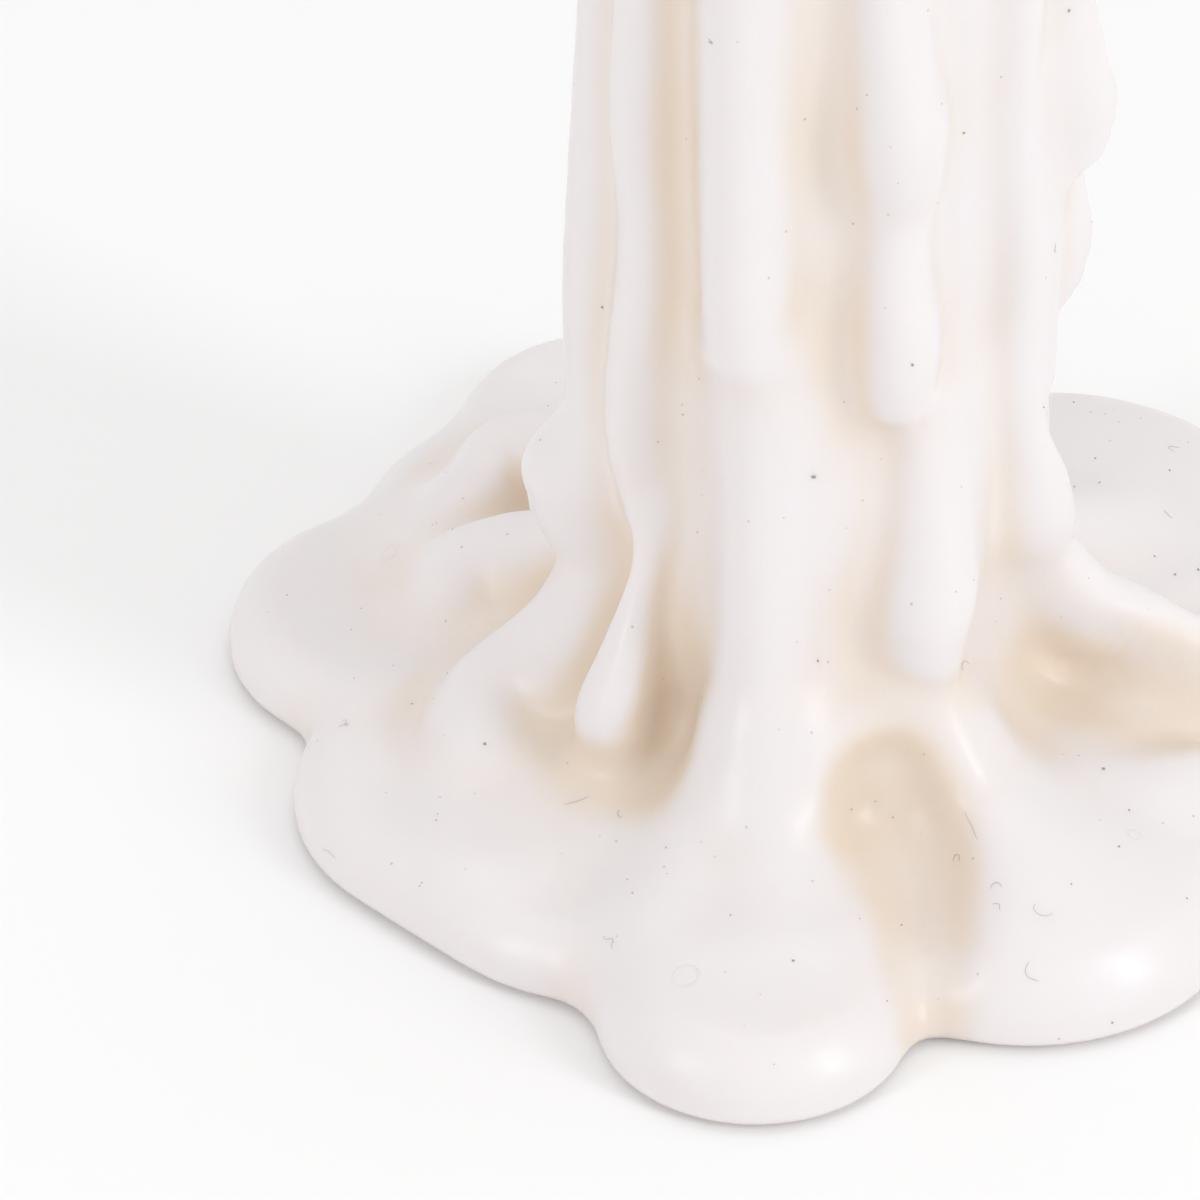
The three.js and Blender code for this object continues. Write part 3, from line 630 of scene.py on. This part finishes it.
class DustSettings(bpy.types.PropertyGroup):
    """The specks and lint that lie on the wax."""

    specks: IntProperty(name="Specks", description="Grains on the wax", default=240, min=0)
    speck_radius: length("Speck radius", "Radius of a middling grain", 0.00006)
    fibres: IntProperty(name="Fibres", description="Lint fibres on the wax", default=34, min=0)
    fibre_length: length("Fibre length", "Length of a middling fibre", 0.0016)
    fibre_radius: length("Fibre radius", "Radius of a fibre", 0.000022)
    speck_colour: colour("Speck colour", "Dark grains", (0.36, 0.3, 0.25))
    fibre_colour: colour("Fibre colour", "Grey lint", (0.42, 0.39, 0.37))
    seed: IntProperty(name="Seed", description="Chooses where they lie", default=11)


class StageSettings(bpy.types.PropertyGroup):
    """The floor, lights and camera."""

    floor_colour: colour("Floor colour", "Pale floor", (0.9, 0.9, 0.9))
    floor_size: length("Floor size", "Side of the floor", 6.0)
    surround_strength: FloatProperty(name="Surround", description="Brightness of the pale room", default=0.79)
    lens: FloatProperty(name="Lens", description="Focal length", default=218.4, unit="CAMERA")
    camera_distance: length("Camera distance", "From the camera to the point it aims at", 0.5166)
    camera_elevation: FloatProperty(name="Elevation", description="Camera above the level",
                                    default=math.radians(36), subtype="ANGLE")
    aim: FloatVectorProperty(name="Aim", description="The point the camera aims at",
                             default=(-0.01536, 0.00638, 0.00879), subtype="XYZ", unit="LENGTH", size=3)


# ---------------------------------------------------------------------------------------------
# Meshes and materials.
# ---------------------------------------------------------------------------------------------


class Gathering:
    """Small closed shapes gathered into one mesh."""

    def __init__(self):
        self.blocks = []
        self.faces = []
        self.count = 0

    def add(self, vertices, faces):
        """Takes in one more shape, whose faces count from its own first vertex."""
        self.faces.extend([tuple(index + self.count for index in face) for face in faces])
        self.blocks.append(vertices)
        self.count += len(vertices)

    def make(self, name, material):
        """The object that holds every shape."""
        return make_object(name, np.concatenate(self.blocks), self.faces, material)


def make_object(name, vertices, faces, material):
    """A smooth-shaded mesh object at the origin. Vertices are in millimetres."""
    mesh = bpy.data.meshes.new(name)
    mesh.from_pydata((np.asarray(vertices) * MM).tolist(), [], faces)
    mesh.polygons.foreach_set("use_smooth", np.ones(len(mesh.polygons), bool))
    mesh.materials.append(material)
    mesh.update()
    made = bpy.data.objects.new(name, mesh)
    bpy.context.scene.collection.objects.link(made)
    return made


def new_material(name):
    """A material with only a Principled shader in it, and its tree and shader."""
    material = bpy.data.materials.new(name)
    material.use_nodes = True
    tree = material.node_tree
    tree.nodes.clear()
    output = tree.nodes.new("ShaderNodeOutputMaterial")
    shader = tree.nodes.new("ShaderNodeBsdfPrincipled")
    tree.links.new(shader.outputs["BSDF"], output.inputs["Surface"])
    return material, tree, shader


def set_inputs(tree, node, inputs):
    """Sets a node's inputs. Each is given a value, or a socket that is linked to it."""
    for name, value in inputs.items():
        if isinstance(value, bpy.types.NodeSocket):
            tree.links.new(value, node.inputs[name])
        else:
            node.inputs[name].default_value = value


def add_node(tree, kind, inputs=None, **properties):
    """Adds a node with its properties and inputs."""
    node = tree.nodes.new(kind)
    for name, value in properties.items():
        setattr(node, name, value)
    set_inputs(tree, node, inputs or {})
    return node


def math_node(tree, operation, first, second=0.0, clamp=False):
    """One step of arithmetic, as its output socket."""
    node = add_node(tree, "ShaderNodeMath", {0: first, 1: second}, operation=operation, use_clamp=clamp)
    return node.outputs["Value"]


def ramp(tree, value, low, high, to_low=0.0, to_high=1.0, smooth=True):
    """A value between two bounds, spread over another range."""
    node = add_node(tree, "ShaderNodeMapRange",
                    {"Value": value, "From Min": low, "From Max": high, "To Min": to_low, "To Max": to_high},
                    interpolation_type="SMOOTHSTEP" if smooth else "LINEAR")
    return node.outputs["Result"]


# The places of a colour mix's sockets among those of its node.
MIX_SHARE = 0
MIX_FIRST = 6
MIX_SECOND = 7
MIX_RESULT = 2


def mix_colours(tree, share, first, second):
    """Two colours mixed by a share, as an output socket."""
    inputs = {MIX_SHARE: share}
    for place, value in ((MIX_FIRST, first), (MIX_SECOND, second)):
        inputs[place] = value if isinstance(value, bpy.types.NodeSocket) else (*value[:3], 1.0)
    return add_node(tree, "ShaderNodeMix", inputs, data_type="RGBA").outputs[MIX_RESULT]


def new_group(name, inputs, outputs):
    """An empty shader group with named sockets, and the sockets that lead in and out of it."""
    group = bpy.data.node_groups.new(name, "ShaderNodeTree")
    for socket, kind, default in inputs:
        made = group.interface.new_socket(name=socket, in_out="INPUT", socket_type=kind)
        made.default_value = default
    for socket, kind in outputs:
        group.interface.new_socket(name=socket, in_out="OUTPUT", socket_type=kind)
    return group, group.nodes.new("NodeGroupInput").outputs, group.nodes.new("NodeGroupOutput").inputs


def cloudiness_group():
    """Slow patches with finer ones in them, used by every material."""
    name = "Cloudiness"
    if name in bpy.data.node_groups:
        return bpy.data.node_groups[name]
    group, given, result = new_group(
        name,
        [("Patch Size", "NodeSocketFloat", 0.01), ("Low", "NodeSocketFloat", 0.0),
         ("High", "NodeSocketFloat", 1.0)],
        [("Value", "NodeSocketFloat")])
    place = add_node(group, "ShaderNodeTexCoord").outputs["Object"]
    scale = math_node(group, "DIVIDE", 1.0, given["Patch Size"])
    cloud = add_node(group, "ShaderNodeTexNoise",
                     {"Vector": place, "Scale": scale, "Detail": 4.0, "Roughness": 0.55})
    spread = ramp(group, cloud.outputs["Fac"], 0.3, 0.7, given["Low"], given["High"], smooth=False)
    group.links.new(spread, result["Value"])
    return group


def grains_group():
    """Sparse round grains, used for specks in the wax and ash on the wick."""
    name = "Grains"
    if name in bpy.data.node_groups:
        return bpy.data.node_groups[name]
    group, given, result = new_group(
        name,
        [("Spacing", "NodeSocketFloat", 0.001), ("Grain Share", "NodeSocketFloat", 0.2),
         ("Kept Share", "NodeSocketFloat", 0.3)],
        [("Mask", "NodeSocketFloat")])
    place = add_node(group, "ShaderNodeTexCoord").outputs["Object"]
    scale = math_node(group, "DIVIDE", 1.0, given["Spacing"])
    cells = add_node(group, "ShaderNodeTexVoronoi", {"Vector": place, "Scale": scale, "Randomness": 1.0})
    grain = math_node(group, "SUBTRACT", given["Grain Share"], cells.outputs["Distance"])
    grain = math_node(group, "DIVIDE", grain, given["Grain Share"], clamp=True)
    chance = add_node(group, "ShaderNodeSeparateColor", {"Color": cells.outputs["Color"]}).outputs["Red"]
    kept = math_node(group, "LESS_THAN", chance, given["Kept Share"])
    group.links.new(math_node(group, "MULTIPLY", grain, kept), result["Mask"])
    return group


def use_group(tree, group, inputs):
    """Places a group in a material with its own values."""
    return add_node(tree, "ShaderNodeGroup", inputs, node_tree=group).outputs[0]


def striae(tree):
    """Fine lines drawn across the wax from front to back, as heights from 0 to 1."""
    place = add_node(tree, "ShaderNodeTexCoord").outputs["Object"]
    stretched = add_node(tree, "ShaderNodeMapping", {"Vector": place, "Scale": (1.0, 0.035, 0.035)})
    lines = add_node(tree, "ShaderNodeTexNoise",
                     {"Vector": stretched.outputs["Vector"], "Scale": 3400.0, "Detail": 1.0})
    return lines.outputs["Fac"]


# Burst bubbles that left a faint ring in the skin: x, y and radius in millimetres.
BUBBLE_RINGS = [(-9.6, -33.2, 0.85), (13.4, 5.0, 0.5), (-30.5, 16.0, 0.6), (21.0, -20.0, 0.45)]
RING_WIDTH = 0.16

# Tiny brown specks set in the wax.
STAIN_COLOUR = (0.32, 0.24, 0.17)
STAIN_STRENGTH = 0.75


def bubble_rings(tree):
    """The faint rings of burst bubbles, as heights from 0 to 1."""
    place = add_node(tree, "ShaderNodeTexCoord").outputs["Object"]
    flat = add_node(tree, "ShaderNodeVectorMath", {0: place, 1: (1.0, 1.0, 0.0)}, operation="MULTIPLY")
    total = None
    for x, y, radius in BUBBLE_RINGS:
        from_centre = add_node(tree, "ShaderNodeVectorMath",
                               {0: flat.outputs["Vector"], 1: (x * MM, y * MM, 0.0)}, operation="DISTANCE")
        off_ring = math_node(tree, "SUBTRACT", from_centre.outputs["Value"], radius * MM)
        off_ring = math_node(tree, "ABSOLUTE", off_ring)
        ring = ramp(tree, off_ring, 0.0, RING_WIDTH * MM, 1.0, 0.0)
        total = ring if total is None else math_node(tree, "ADD", total, ring)
    return total


def wax_material(look):
    """Glossy, slightly cloudy white wax, with painted shade: a warmer, darker colour painted deep between its
    runs.
    """
    material, tree, shader = new_material("candle_wax")
    # The "hollow" attribute sets the painted shade: the deeper a point lies between the runs, the more of the
    # painted shade colour it gets.
    hollow = add_node(tree, "ShaderNodeAttribute", attribute_name="hollow").outputs["Fac"]
    clouds = use_group(tree, cloudiness_group(), {"Patch Size": 0.011, "Low": -0.06, "High": 0.06})
    # Share of painted shade, with a little random cloudiness in it.
    depth = math_node(tree, "ADD", ramp(tree, hollow, 0.03, 0.5), clouds, clamp=True)
    base = mix_colours(tree, depth, look.ridge_colour, look.painted_hollow_shade)
    specks = use_group(tree, grains_group(),
                       {"Spacing": 0.0011, "Grain Share": 0.13, "Kept Share": 0.07})
    stains = math_node(tree, "MULTIPLY", specks, STAIN_STRENGTH)
    specked = mix_colours(tree, stains, base, STAIN_COLOUR)
    rough = use_group(tree, cloudiness_group(),
                      {"Patch Size": 0.004, "Low": look.roughness - 0.035, "High": look.roughness + 0.05})
    lines = add_node(tree, "ShaderNodeBump",
                     {"Height": striae(tree), "Distance": look.striae_depth, "Strength": 1.0})
    skin = use_group(tree, cloudiness_group(), {"Patch Size": 0.0009, "Low": 0.0, "High": 1.0})
    orange_peel = add_node(tree, "ShaderNodeBump",
                           {"Height": skin, "Distance": 0.000005, "Normal": lines.outputs["Normal"]})
    rings = add_node(tree, "ShaderNodeBump",
                     {"Height": bubble_rings(tree), "Distance": 0.00005,
                      "Normal": orange_peel.outputs["Normal"]})
    shader.subsurface_method = "BURLEY"
    set_inputs(tree, shader, {
        "Base Color": specked,
        "Roughness": rough,
        "IOR": 1.44,
        "Subsurface Weight": 1.0,
        "Subsurface Scale": look.scatter_distance,
        "Subsurface Radius": tuple(look.scatter_share),
        "Normal": rings.outputs["Normal"],
    })
    return material


# Heights between which the cotton chars and the char turns to ash, in millimetres.
CHAR_HEIGHTS = (WAX_TOP - 2.4, WAX_TOP - 0.9)
ASH_HEIGHTS = (WAX_TOP + 2.0, WAX_TOP + 6.5)


def wick_material(look):
    """Cotton that is soaked in wax low down, charred above, with ash on its tips."""
    material, tree, shader = new_material("charred_cotton")
    place = add_node(tree, "ShaderNodeTexCoord").outputs["Object"]
    height = add_node(tree, "ShaderNodeSeparateXYZ", {"Vector": place}).outputs["Z"]
    wander = use_group(tree, cloudiness_group(), {"Patch Size": 0.0008, "Low": -0.0006, "High": 0.0006})
    height = math_node(tree, "ADD", height, wander)
    burnt = ramp(tree, height, CHAR_HEIGHTS[0] * MM, CHAR_HEIGHTS[1] * MM)
    base = mix_colours(tree, burnt, look.cotton_colour, look.char_colour)
    ash = use_group(tree, grains_group(), {"Spacing": 0.0004, "Grain Share": 0.6, "Kept Share": 0.6})
    ash_share = ramp(tree, height, ASH_HEIGHTS[0] * MM, ASH_HEIGHTS[1] * MM)
    ash = math_node(tree, "MULTIPLY", ash, ash_share)
    base = mix_colours(tree, ash, base, look.ash_colour)
    crust = use_group(tree, cloudiness_group(), {"Patch Size": 0.00025, "Low": 0.0, "High": 1.0})
    bump = add_node(tree, "ShaderNodeBump", {"Height": crust, "Distance": 0.00005})
    set_inputs(tree, shader, {
        "Base Color": base,
        "Roughness": ramp(tree, burnt, 0.0, 1.0, 0.45, 0.95),
        "Normal": bump.outputs["Normal"],
    })
    return material


# The pale grey that the lighter grains are halfway to.
PALE_DUST = 0.6


def dust_material(name, base_colour, patch_size):
    """Dull dust whose grains differ a little in shade."""
    material, tree, shader = new_material(name)
    shade = use_group(tree, cloudiness_group(), {"Patch Size": patch_size, "Low": 0.0, "High": 1.0})
    pale = tuple((value + PALE_DUST) / 2 for value in base_colour)
    set_inputs(tree, shader, {
        "Base Color": mix_colours(tree, shade, tuple(base_colour), pale),
        "Roughness": 0.8,
    })
    return material


FLOOR_UNEVENNESS = 0.015


def floor_material(look):
    """A plain pale floor with a faintly uneven shade."""
    material, tree, shader = new_material("pale_floor")
    shade = use_group(tree, cloudiness_group(), {"Patch Size": 0.3, "Low": 0.0, "High": 1.0})
    paler = tuple(min(1.0, value + FLOOR_UNEVENNESS) for value in look.floor_colour)
    set_inputs(tree, shader, {
        "Base Color": mix_colours(tree, shade, tuple(look.floor_colour), paler),
        "Roughness": 0.7,
    })
    return material


# ---------------------------------------------------------------------------------------------
# The pieces.
# ---------------------------------------------------------------------------------------------


def build_wax(look):
    """The wax: its skin, evened out, with a hollowness attribute by which its material paints shade into the
    hollows.
    """
    grid = even_out(wax_grid(look.directions))
    count, stations = grid.shape[:2]
    normals = grid_normals(grid).reshape(-1, 3)
    points = grid.reshape(-1, 3)
    # How much painted shade each point gets.
    hollow = painted_shade_amount(points, normals)
    from_axis = np.hypot(points[:, 0], points[:, 1])
    clear_of_floor = np.clip(points[:, 2] - WAVELESS_FOOT, 0, 1)
    clear_of_wick = np.clip(from_axis - WICK_CHANNEL_RADIUS - WAVELESS_COLLAR, 0, 1)
    points = points + normals * (gentle_waves(points) * clear_of_floor * clear_of_wick)[:, None]
    ring = np.arange(count)
    after = (ring + 1) % count
    corner = (ring * stations)[:, None] + np.arange(stations - 1)
    beside = (after * stations)[:, None] + np.arange(stations - 1)
    quads = np.stack([corner, beside, beside + 1, corner + 1], -1).reshape(-1, 4).tolist()
    bottom = len(points)
    fan_down = [(bottom, int(b), int(a)) for a, b in zip(ring * stations, after * stations)]
    ends = zip(ring * stations + stations - 1, after * stations + stations - 1)
    fan_up = [(bottom + 1, int(a), int(b)) for a, b in ends]
    vertices = np.concatenate([points, [[0, 0, 0], [0, 0, WICK_CHANNEL_FLOOR]]])
    made = make_object("melted_wax", vertices, quads + fan_down + fan_up, wax_material(look))
    # The "hollow" attribute carries the amount of painted shade to the wax material.
    attribute = made.data.attributes.new("hollow", "FLOAT", "POINT")
    attribute.data.foreach_set("value", np.concatenate([hollow, [0, 0]]).astype(np.float32))
    return made


def build_wick(look):
    """The wick: strands braided round each other, each twisted from yarns, burnt thin at the tip."""
    path = wick_path()
    sides, fronts = carried_frames(path)
    travelled = np.concatenate([[0], np.cumsum(np.linalg.norm(np.diff(path, axis=0), axis=1))])
    turns = np.linspace(0, 2 * math.pi, STRAND_CORNERS, endpoint=False)
    shown_from = WICK_BEND[2] - WICK_FOOT[2]
    burnt = np.clip((travelled - shown_from) / (travelled[-1] - shown_from), 0, 1)
    shrunk = 1 - BURNT_SHRINKAGE * burnt
    pitch = look.braid_pitch / MM
    radius = look.strand_radius / MM
    braid = Gathering()
    for strand in range(look.strands):
        phase = 2 * math.pi * (travelled / pitch + strand / look.strands)
        offset_side = BRAID_WIDTH * np.sin(phase) * shrunk
        offset_front = BRAID_DEPTH * np.sin(2 * phase) * shrunk
        centres = path + offset_side[:, None] * sides + offset_front[:, None] * fronts
        twist = turns[None, :] * YARN_RIDGES + (travelled / pitch * YARN_TWIST)[:, None]
        shift = Vector((strand * STRAND_NOISE_SHIFT, 0, 0))
        crumble = np.array([noise.noise(Vector(point) * CRUMBLES_PER_MM + shift) for point in centres])
        ridged = radius * (1 + YARN_RIDGE_SHARE * np.cos(twist))
        radii = ridged * (shrunk + CRUMBLE_SHARE * burnt * crumble)[:, None]
        left = travelled[-1] - STRAND_STAGGER * strand - travelled
        ending = np.clip(left / STRAND_TAPER, STRAND_TIP_SHARE, 1)
        radii = radii * np.sqrt(ending)[:, None]
        braid.add(*tube(centres, sides, fronts, radii, STRAND_CORNERS))
    return braid.make("braided_wick", wick_material(look))


# Where dust lies: how far past upright it holds, the lowest place for it, its distance from
# the wick's channel, and how far apart two places are between which the skin's slope is taken.
STEEPEST_HOLD = 0.25
LOWEST_DUST = 1.0
DUST_OFF_WICK = 0.6
SLOPE_PROBE = 0.05

# How the grains differ: spread of their sizes, stretch, lumpiness, and lift as a share of size.
SPECK_SPREAD = 0.38
SPECK_STRETCH = (0.7, 1.4)
SPECK_LUMPINESS = (0.8, 1.2)
SPECK_LIFT = 0.2

# How the fibres differ: share of the middling length, bend, curl and waves. Then the thinning
# of their ends, and the rings and corners of each.
FIBRE_LENGTHS = (0.55, 1.35)
FIBRE_BEND = 1.6
FIBRE_CURL = 1.2
FIBRE_WAVES = (4, 9)
FIBRE_END_SHARE = 0.55
FIBRE_SWELL_SHARE = 0.45
FIBRE_END_ANGLE = 0.15
FIBRE_STEPS = 15
FIBRE_CORNERS = 6


def resting_places(count, generator):
    """Places in millimetres and normals on the wax's skin, more of them where it faces up."""
    mesh = bpy.data.objects["melted_wax"].data
    areas = np.empty(len(mesh.polygons))
    centres = np.empty(len(mesh.polygons) * 3)
    normals = np.empty(len(mesh.polygons) * 3)
    mesh.polygons.foreach_get("area", areas)
    mesh.polygons.foreach_get("center", centres)
    mesh.polygons.foreach_get("normal", normals)
    centres = centres.reshape(-1, 3) / MM
    normals = normals.reshape(-1, 3)
    shares = areas * np.clip(STEEPEST_HOLD + normals[:, 2], 0, 1) * (centres[:, 2] > LOWEST_DUST)
    shares[np.hypot(centres[:, 0], centres[:, 1]) < WICK_CHANNEL_RADIUS + DUST_OFF_WICK] = 0
    chosen = generator.choice(len(shares), size=count, p=shares / shares.sum())
    return centres[chosen], normals[chosen]


def set_on_wax(points, lift):
    """Points near the skin, moved on to it and lifted by a small height."""
    gap = outside_wax(points)
    slope = np.stack([outside_wax(points + step) - gap for step in np.eye(3) * SLOPE_PROBE], 1)
    slope /= np.linalg.norm(slope, axis=1, keepdims=True)
    return points - slope * (gap - lift)[:, None]


def build_specks(look, generator):
    """Dark grains that have settled on the wax, each a small uneven lump."""
    shape = bpy.data.meshes.new("grain")
    lump = bmesh.new()
    bmesh.ops.create_icosphere(lump, subdivisions=1, radius=1.0)
    lump.to_mesh(shape)
    lump.free()
    unit = np.array([vertex.co for vertex in shape.vertices])
    unit_faces = [tuple(polygon.vertices) for polygon in shape.polygons]
    bpy.data.meshes.remove(shape)
    specks = Gathering()
    for place in resting_places(look.specks, generator)[0]:
        size = look.speck_radius / MM * generator.lognormal(0.0, SPECK_SPREAD)
        stretch = generator.uniform(*SPECK_STRETCH, 3)
        lumpiness = generator.uniform(*SPECK_LUMPINESS, (len(unit), 1))
        vertices = unit * stretch * lumpiness * size
        specks.add(vertices + set_on_wax(place[None], size * SPECK_LIFT), unit_faces)
    return specks.make("dust_specks", dust_material("dark_dust", look.speck_colour, 0.006))


def build_fibres(look, generator):
    """Short curled lint fibres that lie on the wax."""
    places, normals = resting_places(look.fibres, generator)
    radius = look.fibre_radius / MM
    along = np.linspace(-0.5, 0.5, FIBRE_STEPS)
    swell = np.sin(np.linspace(FIBRE_END_ANGLE, math.pi - FIBRE_END_ANGLE, FIBRE_STEPS))
    thickness = radius * (FIBRE_END_SHARE + FIBRE_SWELL_SHARE * swell)
    radii = np.repeat(thickness[:, None], FIBRE_CORNERS, 1)
    lint = Gathering()
    for place, normal in zip(places, normals):
        across = np.cross(normal, generator.normal(size=3))
        across /= np.linalg.norm(across)
        beside = np.cross(normal, across)
        full = look.fibre_length / MM * generator.uniform(*FIBRE_LENGTHS)
        bend = generator.normal(0, FIBRE_BEND)
        curl = generator.normal(0, FIBRE_CURL)
        heading = bend * along + curl * np.sin(along * generator.uniform(*FIBRE_WAVES))
        stride = full / (FIBRE_STEPS - 1)
        right = np.cumsum(np.cos(heading)) * stride
        left = np.cumsum(np.sin(heading)) * stride
        route = place + np.outer(right - right.mean(), across) + np.outer(left - left.mean(), beside)
        route = set_on_wax(set_on_wax(route, radius), radius)
        sides, fronts = carried_frames(route)
        lint.add(*tube(route, sides, fronts, radii, FIBRE_CORNERS))
    return lint.make("lint_fibres", dust_material("grey_lint", look.fibre_colour, 0.004))


# Softboxes: name, place, width and height in metres, power in watts, colour.
SOFTBOXES = [
    ("left_softbox", (-0.72, -0.55, 0.42), 0.12, 0.5, 1.5, (1.0, 0.97, 0.985)),
    ("right_softbox", (0.78, -0.5, 0.46), 0.2, 0.7, 3.3, (0.97, 0.985, 1.0)),
    ("top_softbox", (0.05, 0.25, 1.1), 0.8, 0.6, 1.7, (1.0, 1.0, 1.0)),
]
LIGHT_TARGET = Vector((0.0, 0.0, 0.03))


def build_lights():
    """Soft studio lights on both sides and overhead."""
    for name, place, width, height, power, tint in SOFTBOXES:
        data = bpy.data.lights.new(name, "AREA")
        data.shape = "RECTANGLE"
        data.size = width
        data.size_y = height
        data.energy = power
        data.color = tint
        light = bpy.data.objects.new(name, data)
        light.location = place
        light.rotation_euler = (LIGHT_TARGET - Vector(place)).to_track_quat("-Z", "Y").to_euler()
        bpy.context.scene.collection.objects.link(light)


def build_surround(strength):
    """A pale room all round."""
    world = bpy.data.worlds.new("pale_room")
    world.use_nodes = True
    background = world.node_tree.nodes["Background"]
    background.inputs["Color"].default_value = (1.0, 0.995, 0.99, 1.0)
    background.inputs["Strength"].default_value = strength
    bpy.context.scene.world = world


def build_camera(look):
    """The camera looks along +Y and down on the candle's foot."""
    data = bpy.data.cameras.new("view")
    data.lens = look.lens
    data.sensor_width = 36.0
    data.clip_start = 0.01
    camera = bpy.data.objects.new("view", data)
    back = Vector((0.0, -math.cos(look.camera_elevation), math.sin(look.camera_elevation)))
    camera.location = Vector(look.aim) + back * look.camera_distance
    camera.rotation_euler = (math.pi / 2 - look.camera_elevation, 0.0, 0.0)
    bpy.context.scene.collection.objects.link(camera)
    bpy.context.scene.camera = camera


def build_floor(look):
    """A plain pale floor under the candle."""
    half = look.floor_size / MM / 2
    corners = [(-half, -half, 0), (half, -half, 0), (half, half, 0), (-half, half, 0)]
    return make_object("floor", corners, [(0, 1, 2, 3)], floor_material(look))


# ---------------------------------------------------------------------------------------------
# Operators, panel and registration.
# ---------------------------------------------------------------------------------------------


class CANDLE_OT_wax(bpy.types.Operator):
    """Build the wax body with its runs, drops and lobed puddle"""

    bl_idname = "candle.wax"
    bl_label = "Wax body"

    def execute(self, context):
        wax = build_wax(context.scene.candle_wax)
        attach(wax, "root")
        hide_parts("wax_body")
        return {"FINISHED"}


class CANDLE_OT_wick(bpy.types.Operator):
    """Build the braided wick with its charred tip"""

    bl_idname = "candle.wick"
    bl_label = "Wick"

    def execute(self, context):
        wick = build_wick(context.scene.candle_wick)
        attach(wick, "root")
        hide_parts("wick")
        return {"FINISHED"}


class CANDLE_OT_dust(bpy.types.Operator):
    """Scatter dust specks and lint fibres over the wax"""

    bl_idname = "candle.dust"
    bl_label = "Dust and lint"

    def execute(self, context):
        look = context.scene.candle_dust
        if "melted_wax" not in bpy.data.objects:
            raise RuntimeError("Build the wax body first: the dust lies on it")
        generator = np.random.default_rng(look.seed)
        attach(build_specks(look, generator), "root")
        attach(build_fibres(look, generator), "root")
        return {"FINISHED"}


class CANDLE_OT_stage(bpy.types.Operator):
    """Add the floor, the soft lights, the pale room and the camera"""

    bl_idname = "candle.stage"
    bl_label = "Stage"

    def execute(self, context):
        look = context.scene.candle_stage
        build_floor(look)
        build_lights()
        build_surround(look.surround_strength)
        build_camera(look)
        context.scene.view_settings.view_transform = "Standard"
        return {"FINISHED"}


OPERATORS = (CANDLE_OT_wax, CANDLE_OT_wick, CANDLE_OT_dust, CANDLE_OT_stage)


class CANDLE_PT_builder(bpy.types.Panel):
    """Lists the candle's pieces"""

    bl_label = "Melted candle"
    bl_idname = "CANDLE_PT_builder"
    bl_space_type = "VIEW_3D"
    bl_region_type = "UI"
    bl_category = "Candle"

    def draw(self, context):
        for operator in OPERATORS:
            self.layout.operator(operator.bl_idname)


SETTINGS = {
    "candle_wax": WaxSettings,
    "candle_wick": WickSettings,
    "candle_dust": DustSettings,
    "candle_stage": StageSettings,
}


def register():
    for settings in SETTINGS.values():
        bpy.utils.register_class(settings)
    for name, settings in SETTINGS.items():
        setattr(bpy.types.Scene, name, PointerProperty(type=settings))
    for operator in OPERATORS:
        bpy.utils.register_class(operator)
    bpy.utils.register_class(CANDLE_PT_builder)


def unregister():
    bpy.utils.unregister_class(CANDLE_PT_builder)
    for operator in reversed(OPERATORS):
        bpy.utils.unregister_class(operator)
    for name, settings in SETTINGS.items():
        delattr(bpy.types.Scene, name)
        bpy.utils.unregister_class(settings)


def main():
    """Builds every piece and the stage."""
    register()
    bpy.ops.candle.wax()
    bpy.ops.candle.wick()
    bpy.ops.candle.dust()
    bpy.ops.candle.stage()


if __name__ == "__main__":
    main()
